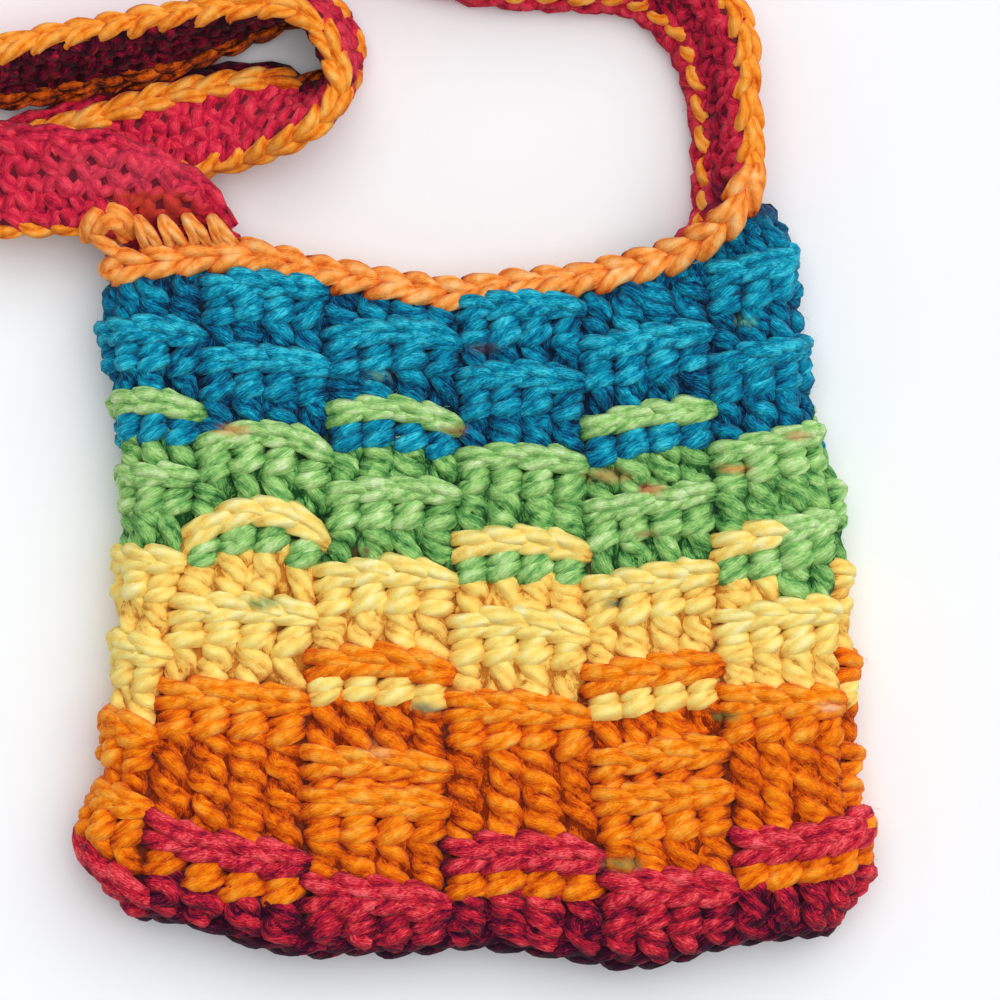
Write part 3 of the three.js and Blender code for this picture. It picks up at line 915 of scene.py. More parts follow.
# The front's bars from the mouth down, one group for each block. Columns: the round, and the photo's rows of
# the bar's left end, middle and right end.
BLOCK_BARS: tuple[tuple[tuple[str, int, int, int], ...], ...] = (
    (
        *(("T2", 336, 329, 336), ("G3", 414, 400, 412), ("G1", 482, 474, 478), ("Y2", 562, 558, 562)),
        *(("O4", 640, 643, 655), ("O2", 722, 722, 736), ("O1", 798, 795, 808), ("M1", 832, 866, 903)),
    ),
    (
        *(("T3", 288, 283, 290), ("T1", 362, 357, 366), ("G2", 452, 431, 457), ("Y3", 542, 509, 540)),
        *(("Y1", 610, 607, 616), ("O3", 693, 695, 703), ("M2", 824, 850, 862)),
    ),
    (
        *(("T2", 343, 330, 343), ("G3", 415, 408, 427), ("G1", 495, 488, 495), ("Y2", 579, 570, 580)),
        *(("O4", 666, 660, 673), ("O2", 762, 762, 770), ("O1", 802, 800, 806), ("M1", 894, 896, 906)),
    ),
    (
        *(("T3", 309, 303, 308), ("T1", 381, 374, 383), ("G2", 461, 455, 465), ("Y3", 547, 539, 551)),
        *(("Y1", 628, 621, 634), ("O3", 708, 706, 717), ("M2", 858, 852, 859)),
    ),
    (
        *(("T2", 352, 338, 330), ("G3", 429, 414, 409), ("G1", 513, 500, 490), ("Y2", 592, 578, 572)),
        *(("O4", 681, 670, 663), ("O2", 766, 755, 748), ("O1", 802, 796, 790), ("M1", 890, 887, 888)),
    ),
    (
        *(("T3", 275, 263, 252), ("T1", 366, 352, 345), ("G2", 455, 440, 430), ("Y3", 548, 530, 520)),
        *(("Y1", 625, 612, 612), ("O3", 700, 700, 703), ("M2", 845, 842, 828)),
    ),
)
# One bar is stouter than the others of its round.
STOUT_BARS = {("M1", 0): 1.35}

# Patches of other colours on the bag.
FLECKS: tuple[Fleck, ...] = (
    Fleck(262, 603, 2.5, (84, 134, 66), 0.95),
    Fleck(427, 708, 2.2, (20, 96, 104), 1.0),
    Fleck(624, 864, 3.2, (96, 132, 74), 0.9),
    Fleck(722, 716, 2.6, (104, 124, 66), 0.85),
    Fleck(232, 430, 3.0, (206, 140, 84), 0.85),
    Fleck(735, 469, 2.6, (214, 128, 72), 0.9),
    Fleck(798, 436, 2.2, (196, 112, 80), 0.85),
    Fleck(608, 476, 3.6, (196, 140, 84), 0.8),
    Fleck(650, 489, 2.4, (214, 100, 72), 0.9),
    Fleck(646, 533, 2.0, (160, 84, 62), 0.8),
    Fleck(366, 551, 2.0, (110, 60, 40), 0.9),
    Fleck(456, 430, 2.2, (160, 72, 60), 0.9),
    Fleck(614, 603, 2.0, (50, 96, 80), 0.95),
    Fleck(485, 348, 2.4, (100, 84, 92), 0.75),
    Fleck(746, 322, 2.0, (110, 176, 126), 0.8),
    Fleck(380, 376, 2.2, (120, 150, 110), 0.75),
    Fleck(830, 707, 1.8, (255, 214, 170), 0.8),
    Fleck(380, 752, 2.0, (255, 190, 130), 0.8),
    Fleck(764, 210, 4.0, (44, 44, 84), 0.75),
)

# The strap's left end: the rust stitches by the join, and a painted highlight on the lit top of the fold
# above them. Its right end is tinted where it meets the bag.
STRAP_FLECKS: tuple[Fleck, ...] = (
    *(
        Fleck(column, row, 3.6, (196, 66, 34), 0.85)
        for column, row in ((134, 199), (150, 203), (166, 197), (182, 205), (152, 214), (174, 215))
    ),
    # A painted highlight where the fold's top is lit.
    Fleck(120, 172, 12.0, (255, 104, 124), 0.2),
    Fleck(716, 206, 4.5, (66, 40, 78), 0.6),
    Fleck(730, 188, 4.0, (74, 32, 66), 0.6),
)


@dataclass
class BagForm:
    """The bag's outside, on which the stitches lie: how its edges run and how it rolls at the sides."""

    stitches: int = 48
    block_stitches: int = 4
    block_width: float = 39.0
    front_roll: float = 12.0
    front_roll_length: float = 21.0
    back_roll: float = 9.0
    back_roll_length: float = 16.5
    fold_height: float = 12.0
    front_height: float = 27.0
    mouth_height: float = 25.0
    bottom_level: float = -106.0
    mouth_level: float = 94.0
    bottom_roll: float = 13.0
    mouth_bow_start: float = 58.0
    mouth_narrows: float = 30.0
    table_step: float = 0.5
    table_margin: float = 12.0
    # What lies on the surface is pressed flat: the crest that stays as it is, the share left of the others,
    # and how far all of it is pressed down.
    pressed_crest: float = 3.4
    pressed_share: float = 0.3
    pressed_sink: float = 0.15
    floor_gap: float = 0.05
    # The outline. Columns: level, left side, right side.
    outline: Table = (
        (-106, -103, 104.5),
        (-94, -113, 113),
        (-80, -119.5, 118),
        (-71, -118, 117),
        (-62, -113, 112),
        (-46, -113, 112.5),
        (-30, -109.5, 112),
        (0, -108.2, 110),
        (30, -106.5, 107.5),
        (55, -108.5, 100),
        (78, -113, 96.5),
        (94, -112.5, 91),
    )
    # How far the bottom edge and the mouth bend. Columns: x, rise.
    bottom_bends: Table = (
        *((-120, 16), (-105, 11.5), (-84, 7.5), (-60, -0.2), (-30, -0.5), (6, 1.4)),
        *((34, -3.2), (52, -4), (74, 1.6), (109, 6.5), (120, 10.5)),
    )
    mouth_bends: Table = (
        *((-115, 1.5), (-72, 5.6), (-48, 0.5), (-9, -6), (6, -3.4), (36, -1)),
        *((51, 2.6), (66, 7.4), (78, 16), (84, 22), (92, 25)),
    )
    # Where the front's blocks meet. Columns: level, and the x of the five meeting lines.
    block_lines: Table = (
        (-81, -101.4, -52.8, -10.2, 36.9, 76.5),
        (-24, -96.0, -51.9, -9.3, 31.8, 71.7),
        (36, -85.5, -45.3, -6.6, 31.5, 70.2),
        (93, -83.1, -47.4, -6.3, 30.0, 68.4),
    )

    def __post_init__(self) -> None:
        """Makes the smooth curves of the outline's tables, and the table of levels."""
        self.left, self.right = smooth_columns(self.outline)
        (self.bottom_bow,) = smooth_columns(self.bottom_bends)
        (self.mouth_bow,) = smooth_columns(self.mouth_bends)
        self.block_edges = smooth_columns(self.block_lines)
        self.fill_table()

    def bow(self, x: Array, level: Array) -> Array:
        """How far a level line is bent by the bottom edge and by the mouth.

        Args:
            x: The places across the bag.
            level: The level of each place.

        Returns:
            The rise of the line at each place.
        """
        down = np.clip(1 - (level - self.bottom_level) / (self.mouth_level - self.bottom_level), 0, None)
        up = np.clip((level - self.mouth_bow_start) / (self.mouth_level - self.mouth_bow_start), 0, None)
        return self.bottom_bow(x) * down**4 + self.mouth_bow(x) * up**3

    def fill_table(self) -> None:
        """Fills the table that gives the level at any place and height."""
        places = np.arange(0, self.stitches + self.table_step, self.table_step)
        levels = np.arange(self.bottom_level, self.mouth_level + self.table_margin)
        stitch, level = np.meshgrid(places, levels, indexing="ij")
        heights = self.height(stitch, level)
        self.table_heights = np.arange(heights.min(), heights.max())
        self.table = np.stack([np.interp(self.table_heights, column, levels) for column in heights])

    def level_at(self, stitch: Array, height: Array) -> Array:
        """The level whose line passes through a place and a height on the bag.

        Args:
            stitch: The place round the bag in stitches.
            height: The height along the bag, from its bottom to its mouth.

        Returns:
            The level.
        """
        column = np.mod(stitch, self.stitches) / self.table_step
        row = np.clip(height - self.table_heights[0], 0, len(self.table_heights) - 1.001)
        i, j = np.floor(column).astype(int), np.floor(row).astype(int)
        u, v = column - i, row - j
        low = (1 - u) * self.table[i, j] + u * self.table[i + 1, j]
        high = (1 - u) * self.table[i, j + 1] + u * self.table[i + 1, j + 1]
        return low * (1 - v) + high * v

    def height(self, stitch: Array, level: Array) -> Array:
        """The height along the bag of a level at a place round it."""
        stitch, level = np.broadcast_arrays(np.asarray(stitch, float), np.asarray(level, float))
        return level + self.bow(self.station(stitch, level)[0], level)

    def reach(self, level: Array) -> tuple[Array, Array]:
        """The lengths round the front and round the back.

        Args:
            level: The levels.

        Returns:
            The two lengths at each level.
        """
        width = self.right(level) - self.left(level)
        front = width - 2 * self.front_roll + 2 * self.front_roll_length
        return front, width - 2 * self.back_roll + 2 * self.back_roll_length

    def around(self, stitch: Array, level: Array) -> Array:
        """The way round the bag, from its left fold, of a place counted in stitches.

        Args:
            stitch: The place in stitches. The front's blocks come first.
            level: The level of each place.

        Returns:
            The length round the bag.
        """
        front, back = self.reach(level)
        start = self.left(level) + self.front_roll - self.front_roll_length
        inner = [edge(level) - start for edge in self.block_edges]
        knots = np.stack([inner[0] - self.block_width, *inner, inner[-1] + self.block_width])
        block = np.mod(stitch, self.stitches) / self.block_stitches
        count = len(inner) + 1
        low = np.clip(np.floor(block), 0, count - 1).astype(int)
        a = np.take_along_axis(knots, low[None], 0)[0]
        b = np.take_along_axis(knots, low[None] + 1, 0)[0]
        ahead = a + (block - low) * (b - a)
        behind = knots[count] + (block - count) / count * (knots[0] + front + back - knots[count])
        return np.where(block <= count, ahead, behind)

    def station(self, stitch: Array, level: Array) -> tuple[Array, Array, Array, Array]:
        """Where a place lies on the plain form.

        Args:
            stitch: The place round the bag in stitches.
            level: The level up the bag.

        Returns:
            The place across the bag, the side that its fold turns to, the angle from that fold, and
            whether it is on the front.
        """
        front, back = self.reach(level)
        way = np.mod(self.around(stitch, level), front + back)
        ahead = way <= front
        rest = np.where(ahead, way, way - front)
        span = np.where(ahead, front, back)
        roll = np.where(ahead, self.front_roll, self.back_roll)
        length = np.where(ahead, self.front_roll_length, self.back_roll_length)
        angle = np.clip(np.minimum(rest, span - rest) / length, 0, 1) * (math.pi / 2)
        turned = roll * (1 - np.cos(angle))
        inward = np.where(rest < length, turned, roll + rest - length)
        inward = np.where(rest > span - length, span - 2 * length + 2 * roll - turned, inward)
        x = np.where(ahead, self.left(level) + inward, self.right(level) - inward)
        side = np.where((rest < span / 2) == ahead, -1.0, 1.0)
        return x, side, angle, ahead

    def point(self, stitch: Array, level: Array, crest: Array, radius: Array | float) -> Array:
        """Points of strands that lie on the bag.

        Args:
            stitch: The place round the bag in stitches.
            level: The level up the bag.
            crest: How far the yarn's outer side stands out of the bag's plain form.
            radius: The yarn's radius.

        Returns:
            The centres of the yarn.
        """
        stitch, level, crest = np.broadcast_arrays(*(np.asarray(v, float) for v in (stitch, level, crest)))
        x, side, angle, ahead = self.station(stitch, level)
        drop = np.clip(1 - (level - self.bottom_level) / self.bottom_roll, 0, 1)
        closing = np.sqrt(1 - drop**2)
        share = np.clip((level - self.mouth_narrows) / (self.mouth_level - self.mouth_narrows), 0, 1)
        top = self.front_height + (self.mouth_height - self.front_height) * share * share * (3 - 2 * share)
        lift = np.sin(angle) * closing
        flat = self.pressed_share * (crest - self.pressed_crest) - self.pressed_sink
        rise = np.where(ahead, crest, crest + (flat - crest) * np.sin(angle)) - radius
        y = level + self.bow(x, level) - rise * (1 - closing)
        z = self.fold_height + (np.where(ahead, top, 0.0) - self.fold_height) * lift
        z = z + np.where(ahead, 1.0, -1.0) * rise * lift
        x = x + side * rise * np.cos(angle) * closing
        return np.stack([x, y, np.maximum(z, np.asarray(radius) + self.floor_gap)], axis=-1)


@dataclass
class BlockRow:
    """One bar of a block with the wraps and posts under it. Its height runs along the block as a parabola."""

    block: int
    hues: tuple[Hue, ...]
    wrap_hues: tuple[Hue, ...]
    width: float
    left: float
    middle: float
    right: float

    def height(self, share: Array | float) -> Array | float:
        """The bar's height along its block.

        Args:
            share: The place as a share of the block's width.

        Returns:
            The height there.
        """
        bend = 2 * (self.left + self.right - 2 * self.middle)
        slope = self.right - self.left - bend
        return self.left + slope * share + bend * share * share


@dataclass
class BagBody:
    """The bag: raised bars, wrapped stitches and posts in turn on its blocks, and the closed bottom."""

    form: BagForm
    rng: np.random.Generator
    back_blocks: tuple[int, ...] = (6, 7, 8, 9, 10, 11)
    back_sag: float = 1.5
    # Every strand: how it strays, how it dives at its block's sides, and how the block swells.
    place_jitter: float = 0.03
    height_jitter: float = 0.2
    crest_jitter: float = 0.14
    thick_jitter: float = 0.05
    dive: float = 2.8
    dive_start: float = 0.1
    dive_reach: float = 0.7
    dive_most: float = 1.3
    swell: float = 0.8
    # The depth below the bars' crest at which a strand's painted shade is full.
    deep: float = 6.0
    # The plaited bars. Their radius grows with their width.
    radius: float = 2.55
    least_radius: float = 0.65
    radius_by_width: float = 0.45
    bar_crest: float = 3.6
    bar_jitter: float = 0.08
    bar_half: float = 3.6
    bar_gap: float = 0.8
    # The wraps under the bars: how they lie, how they stray in slant, height and crest, and how they shrink
    # where the next bar is near or tuck in under a wide bar.
    wrap_crest: float = 2.7
    wrap_radius: float = 2.9
    wrap_drop: float = 9.0
    wrap_drop_by_width: float = 3.5
    wrap_half: float = 1.6
    wrap_reach: float = 1.12
    wrap_reach_by_tuck: float = 0.3
    wrap_jitters: tuple[float, float, float] = (0.3, 0.35, 0.2)
    least_wrap_gap: float = 14.0
    small_wrap: float = 0.8
    small_wrap_sink: float = 6.0
    tuck: float = 2.2
    tuck_width: float = 0.9
    # The posts. Columns of their cores: share of the stitch, depth. Pairs that a draw uses: middle, spread.
    core_radius: float = 3.7
    core_ends: float = 1.0
    cores: Table = ((0.5, 1.9), (1.0, 3.2))
    post_crest: float = 1.6
    post_radius: float = 2.85
    post_half_turn: float = 7.6
    post_spread: float = 0.28
    post_depth: float = 1.5
    post_overlap: float = 0.14
    post_tuck: float = 2.5
    tuck_steepness: float = 7.0
    post_turns: tuple[float, float] = (0.15, 0.25)
    post_start: tuple[float, float] = (1.1, 0.25)
    post_sway: tuple[float, float] = (0.05, 0.12)
    post_spread_jitter: float = 0.12
    post_height_jitter: float = 0.35
    post_plump: tuple[float, float] = (1.04, 0.12)
    least_post: float = 2.5
    top_gap: float = 2.5
    bottom_gap: float = 3.0
    # The wall behind the stitches.
    ground_crest: float = -3.0
    ground_thickness: float = 1.4
    ground_step: float = 0.5
    ground_low: tuple[float, ...] = (4.0, 6.0, 9.0)
    ground_levels: tuple[float, float, int] = (-92.0, 93.5, 44)
    # The two legs of a bar's stitch. Columns: share of the stitch, height, out.
    upper_leg: Table = (
        (1.28, -1.0, -2.4),
        (1.04, 0.0, -0.2),
        (0.68, 1.2, 0.45),
        (0.3, 2.4, 0.3),
        (0.02, 3.1, -0.8),
        (-0.14, 2.9, -3.0),
    )
    lower_leg: Table = (
        (1.28, -0.8, -3.2),
        (1.04, -1.5, -1.0),
        (0.68, -2.4, -0.4),
        (0.3, -3.1, -0.5),
        (0.02, -3.4, -1.6),
        (-0.14, -3.0, -3.4),
    )
    # A strand of a wrap. Columns: share of the stitch, tilt, out. The pair's columns: height, width, depth.
    wrap_strand: Table = (
        (0.12, -1.3, -6.5),
        (0.18, -1.1, -2.2),
        (0.36, -0.5, -0.2),
        (0.64, 0.5, 0.1),
        (0.82, 1.1, -2.0),
        (0.88, 1.3, -6.5),
    )
    wrap_pair: Table = ((2.2, 0.8, 0.5), (-1.7, 1.0, 0.0))
    # A stitch of the closed bottom. Columns: share, height, out. Columns of its rows: height, crest, shift,
    # painted shade.
    bottom_strand: Table = (
        (-0.02, -0.9, -4.5),
        (0.12, -0.6, -1.4),
        (0.36, -0.2, 0.0),
        (0.66, 0.2, 0.0),
        (0.9, 0.6, -1.4),
        (1.02, 0.9, -4.5),
    )
    bottom_rows: Table = (
        (8.5, 0.6, 0.0, 0.5),
        (3.0, 1.0, 0.5, 0.7),
        (0.2, 1.5, 0.0, 0.85),
    )
    bottom_tilt: tuple[float, float] = (1.4, 0.4)
    bottom_jitter: float = 0.4
    # A stitch of the low row along the mouth. Columns: share, out.
    rim_strand: Table = (
        *((-0.05, -3.4), (0.15, -1.0), (0.4, 0.0)),
        *((0.65, 0.0), (0.9, -1.0), (1.05, -3.4)),
    )
    rim_drop: float = 1.2
    rim_jitter: float = 0.3
    # The painted shade of the rim row, which lies deep under the chain.
    rim_painted_shade: float = 0.45
    # The stitches from the mouth's right corner up to the edging. Columns of their lower points: level from
    # the mouth, crest. Columns of the ties: place in stitches, and the upper end's x, y and z.
    tie_roots: Table = ((-13.0, -2.0), (-7.0, -0.4), (-2.0, 0.2))
    # The painted shade of the ties' points, from the lower end up: they lie in shade under the chain.
    tie_painted_shades: tuple[float, ...] = (0.5, 0.4, 0.3, 0.4)
    corner_ties: Table = (
        (17.7, 48.0, 100.4, 21.0),
        (18.4, 54.0, 102.3, 21.5),
        (19.1, 60.0, 104.4, 22.5),
        (19.7, 66.0, 107.7, 24.7),
        (20.3, 70.5, 111.0, 26.8),
        (20.9, 74.6, 114.6, 28.5),
        (21.5, 77.0, 118.0, 28.6),
        (22.1, 79.0, 121.4, 28.7),
    )
    skeins: dict[Hue, Skein] = field(default_factory=dict)

    def __post_init__(self) -> None:
        """Starts a skein for each colour band."""
        for hue in ROUND_HUES.values():
            self.skeins[hue] = Skein(f"bag_{hue.value}_stitches", hue)

    @staticmethod
    def hues_of(name: str, block: int) -> tuple[tuple[Hue, ...], tuple[Hue, ...]]:
        """The colours of a bar's four stitches and of the wraps under it.

        Args:
            name: The bar's round.
            block: The block that it is on.

        Returns:
            The bar's colours and the wraps' colours.
        """
        names = [row[0] for row in ROUNDS]
        after = names[min(names.index(name) + 1, len(names) - 1)]
        hue, next_hue = ROUND_HUES[name[0]], ROUND_HUES[after[0]]
        if (name, block) == ("O4", 0):
            hue = Hue.YELLOW
        if (name, block) == ("M2", 5):
            return (hue,) * 5, (next_hue,) * 5
        if (name, block) == ("Y3", 5):
            return (hue, hue, next_hue, next_hue), (next_hue,) * 4
        return (hue,) * 4, (next_hue,) * 4

    def rows(self) -> dict[int, list[BlockRow]]:
        """The bars of each block from the mouth down.

        Returns:
            The rows by block: the front's from the photo, the back's at their rounds' levels.
        """
        rows: dict[int, list[BlockRow]] = defaultdict(list)
        for block, bars in enumerate(BLOCK_BARS):
            for name, *places in bars:
                width = BAR_WIDTHS[name[0]] * STOUT_BARS.get((name, block), 1.0)
                heights = [photo_y(row) for row in places]
                rows[block].append(BlockRow(block, *self.hues_of(name, block), width, *heights))
        for block in self.back_blocks:
            places = self.form.block_stitches * (block + np.array([0.0, 0.5, 1.0]))
            for name, level, shows in reversed(ROUNDS):
                if block % 2 == shows:
                    heights = self.form.height(places, level) - self.rng.uniform(0, self.back_sag, 3)
                    hues = self.hues_of(name, block)
                    rows[block].append(BlockRow(block, *hues, BAR_WIDTHS[name[0]], *heights))
        return rows

    def lay(
        self,
        row: BlockRow,
        stitch: int,
        share: Array,
        height: Array,
        crest: Array,
        radius: Array | float,
        hue: Hue,
        steps: float | None = None,
    ) -> None:
        """Lays one strand on the bag.

        Args:
            row: The block's row.
            stitch: Which of the block's stitches the strand belongs to.
            share: The points' places across the stitch.
            height: The points' heights along the bag.
            crest: How far the yarn stands out at each point.
            radius: The yarn's radius, for the strand or for each of its points.
            hue: The yarn's colour.
            steps: The steps between its points, where they aren't the skein's own.
        """
        count = len(share)
        within = stitch + share + self.rng.normal(0, self.place_jitter, count)
        from_edge = np.minimum(within, len(row.hues) - within)
        near = 1 - (from_edge + self.dive_start) / self.dive_reach
        dive = self.dive * np.clip(near, 0, self.dive_most) ** 2
        swell = self.swell * np.sin(math.pi * np.clip(within / len(row.hues), 0, 1))
        high = crest + swell - dive + self.rng.normal(0, self.crest_jitter, count)
        place = row.block * self.form.block_stitches + within
        level = self.form.level_at(place, height + self.rng.normal(0, self.height_jitter, count))
        points = self.form.point(place, level, high, radius)
        # Painted shade: darker the further the strand lies below the bars' crest.
        painted_shade = np.clip((self.bar_crest - high) / self.deep, 0, 1)
        thick = np.broadcast_to(radius, count) * self.rng.normal(1, self.thick_jitter)
        self.skeins[hue].add(points[None], thick[None], painted_shade[None], steps=steps)

    def share(self, stitch: Array | float) -> Array | float:
        """A place in a block's stitches, as a share of the block's width."""
        return stitch / self.form.block_stitches

    def plait(self, row: BlockRow) -> None:
        """Lays the bar: four chain stitches side by side, their upper legs over their lower ones.

        Args:
            row: The block's row.
        """
        radius = self.radius * (self.least_radius + self.radius_by_width * row.width)
        for stitch, hue in enumerate(row.hues):
            for leg in (self.lower_leg, self.upper_leg):
                share, aside, out = np.array(leg).T
                aside = aside * row.width * self.rng.normal(1, self.bar_jitter)
                height = row.height(self.share(stitch + share)) + aside
                self.lay(row, stitch, share, height, self.bar_crest + out, radius, hue)

    def wraps(self, row: BlockRow, below: float) -> None:
        """The plump stitches that wrap the posts under a bar.

        Args:
            row: The block's row.
            below: How far the next bar is below this one.
        """
        share, tilt, sag = np.array(self.wrap_strand).T
        small = self.small_wrap if below < self.least_wrap_gap else 1.0
        tuck = self.tuck * max(0.0, row.width - self.tuck_width)
        drop = min(self.drop(row), below / 2)
        reach = self.wrap_reach + self.wrap_reach_by_tuck * tuck
        slant_jitter, height_jitter, crest_jitter = self.wrap_jitters
        for stitch, hue in enumerate(row.wrap_hues):
            slant = self.rng.normal(1, slant_jitter)
            middle = row.height(self.share(stitch + 0.5)) - drop + self.rng.normal(0, height_jitter)
            for rise, narrow, sunk in self.wrap_pair:
                place = 0.5 + (share - 0.5) * narrow * reach
                crest = self.wrap_crest + sag + self.rng.normal(0, crest_jitter)
                crest = crest - self.small_wrap_sink * (1 - small) - sunk - tuck
                height = middle + rise * small + tilt * slant
                self.lay(row, stitch, place, height, crest, self.wrap_radius * small, hue)

    def drop(self, row: BlockRow) -> float:
        """How far the wraps' middle is below the bar's."""
        return self.wrap_drop - self.wrap_drop_by_width * (1 - row.width)

    def posts(self, row: BlockRow, hues: Sequence[Hue], top: HeightLine, bottom: HeightLine) -> None:
        """The upright stitches between two heights of a block.

        Args:
            row: The block's row.
            hues: The colour of each stitch.
            top: The height of the upper end by the share of the block's width.
            bottom: The height of the lower end.
        """
        for stitch, hue in enumerate(hues):
            middle = self.share(stitch + 0.5)
            high, low = float(top(middle)), float(bottom(middle))
            if high - low > self.least_post:
                self.post(row, stitch, hue, high, low)

    def post(self, row: BlockRow, stitch: int, hue: Hue, high: float, low: float) -> None:
        """One upright stitch: two strands that twist about each other over a core.

        Args:
            row: The block's row.
            stitch: Which of the block's stitches it is.
            hue: The yarn's colour.
            high: The height of its upper end.
            low: The height of its lower end.
        """
        tall = high - low
        half_turns = max(1, round(tall / self.post_half_turn + self.rng.normal(*self.post_turns)))
        way = np.linspace(-self.post_overlap, 1 + self.post_overlap, 4 * half_turns + 2)
        past = np.clip(-way * self.tuck_steepness, 0, 1) + np.clip((way - 1) * self.tuck_steepness, 0, 1)
        tuck = self.post_tuck * past
        start = math.pi * self.rng.normal(*self.post_start)
        shift, lean = (self.rng.normal(0, sway) for sway in self.post_sway)
        sway = shift + lean * (way - 0.5)
        for share, depth in self.cores:
            core = np.full(4, self.post_crest - depth)
            height = np.linspace(high + self.core_ends, low - self.core_ends, 4)
            self.lay(row, stitch, np.full(4, share), height, core, self.core_radius, hue, steps=1)
        for phase in (math.pi, 0.0):
            turn = start + phase - math.pi * half_turns * way
            spread = self.post_spread * self.rng.normal(1, self.post_spread_jitter)
            share = 0.5 + sway + spread * np.cos(turn)
            share += self.rng.normal(0, self.place_jitter, len(way))
            height = high - way * tall + self.rng.normal(0, self.post_height_jitter, len(way))
            crest = self.post_crest + self.post_depth * (np.sin(turn) - 1) - tuck
            plump = self.post_radius * (self.post_plump[0] + self.post_plump[1] * np.sin(turn))
            self.lay(row, stitch, share, height, crest, plump, hue)

    def bottom(self) -> None:
        """The closed bottom: rows of plump stitches that turn round the bottom edge from front to back."""
        form = self.form
        share, tilt, sag = np.array(self.bottom_strand).T
        for rise, crest, shift, painted_shade in self.bottom_rows:
            for stitch in np.arange(form.stitches):
                level = form.bottom_level + rise + tilt * self.rng.normal(*self.bottom_tilt)
                level = np.maximum(level, form.bottom_level)
                out = crest + sag + self.rng.normal(0, self.bottom_jitter)
                points = form.point(stitch + (share + shift), level, out, self.core_radius)
                self.skeins[Hue.MAGENTA].add(points[None], self.core_radius, np.full((1, len(share)), painted_shade))

    def rim(self) -> None:
        """The low row of stitches along the mouth, which the chain lies on."""
        share, out = np.array(self.rim_strand).T
        painted_shades = np.full((1, len(share)), self.rim_painted_shade)
        for stitch in np.arange(self.form.stitches):
            jitter = self.rng.normal(0, self.rim_jitter, len(share))
            level = self.form.mouth_level - self.rim_drop + jitter
            points = self.form.point(stitch + share, level, out - self.rim_drop, self.core_radius)
            self.skeins[Hue.TEAL].add(points[None], self.core_radius, painted_shades)

    def ties(self) -> None:
        """The stitches at the mouth's right corner, which carry the edging up to the strap."""
        levels, crests = np.array(self.tie_roots).T
        for stitch, *upper in self.corner_ties:
            places = np.full(len(levels), stitch)
            lower = self.form.point(places, self.form.mouth_level + levels, crests, self.core_radius)
            points = np.array([[*lower, upper]])
            self.skeins[Hue.TEAL].add(points, self.core_radius, np.array([self.tie_painted_shades]))

    def stitch(self) -> None:
        """Lays all the bag's stitches."""
        form = self.form
        for block, rows in self.rows().items():
            top = self.line(block, form.mouth_level - self.top_gap)
            self.posts(rows[0], [Hue.TEAL] * form.block_stitches, top, self.above(rows[0]))
            for row, lower in zip(rows, [*rows[1:], None]):
                self.plait(row)
                gap = row.middle - lower.middle if lower else 2 * self.wrap_drop
                self.wraps(row, gap)
                if gap < self.least_wrap_gap:
                    continue
                low = self.above(lower) if lower else self.line(block, form.bottom_level + self.bottom_gap)
                self.posts(row, row.hues, self.under(row), low)
        self.bottom()
        self.rim()
        self.ties()

    def above(self, row: BlockRow) -> HeightLine:
        """The upper side of a bar."""
        return lambda share: row.height(share) + self.bar_half * row.width + self.bar_gap

    def under(self, row: BlockRow) -> HeightLine:
        """The lower side of the wraps under a bar."""
        return lambda share: row.height(share) - self.drop(row) - self.wrap_half

    def line(self, block: int, level: float) -> HeightLine:
        """The height of one level along a block."""
        return lambda share: self.form.height((block + share) * self.form.block_stitches, level)

    def ground(self) -> bpy.types.Object:
        """The bag's wall behind the stitches, as one thin shell that is open at the mouth.

        Returns:
            The new object.
        """
        places = np.arange(0, self.form.stitches, self.ground_step)
        low = self.form.bottom_level + np.array(self.ground_low)
        levels = np.concatenate([low, np.linspace(*self.ground_levels)])
        stitch, level = np.meshgrid(places, levels)
        shells = [
            self.form.point(stitch, level, np.full(stitch.shape, crest), 0.0)
            for crest in (self.ground_crest, self.ground_crest - self.ground_thickness)
        ]
        index = np.arange(2 * stitch.size).reshape(2, *stitch.shape)
        faces = [
            ring_faces(index[0, :-1], index[0, 1:]),
            ring_faces(index[1, :-1], index[1, 1:])[:, ::-1],
            ring_faces(index[0, -1], index[1, -1]),
            ring_faces(index[1, 0], index[0, 0]),
        ]
        points = np.concatenate([shell.reshape(-1, 3) for shell in shells])
        return plain_mesh("bag_wall", points, np.concatenate(faces))


def ring_faces(first: Array, second: Array) -> Array:
    """Faces with four corners between rings of points.

    Args:
        first: The points of one ring, or of several.
        second: The points of the next ring of each.

    Returns:
        The corners of each face.
    """
    corners = [first, np.roll(first, -1, -1), np.roll(second, -1, -1), second]
    return np.stack(corners, axis=-1).reshape(-1, 4)


def plain_mesh(name: str, points: Array, faces: Array) -> bpy.types.Object:
    """Makes an object from points in millimetres and their faces.

    Args:
        name: The object's name.
        points: The points.
        faces: The corners of each face.

    Returns:
        The new object.
    """
    mesh = bpy.data.meshes.new(name)
    mesh.from_pydata((points * MM).tolist(), [], faces.tolist())
    mesh.shade_smooth()
    piece = bpy.data.objects.new(name, mesh)
    bpy.context.collection.objects.link(piece)
    return piece


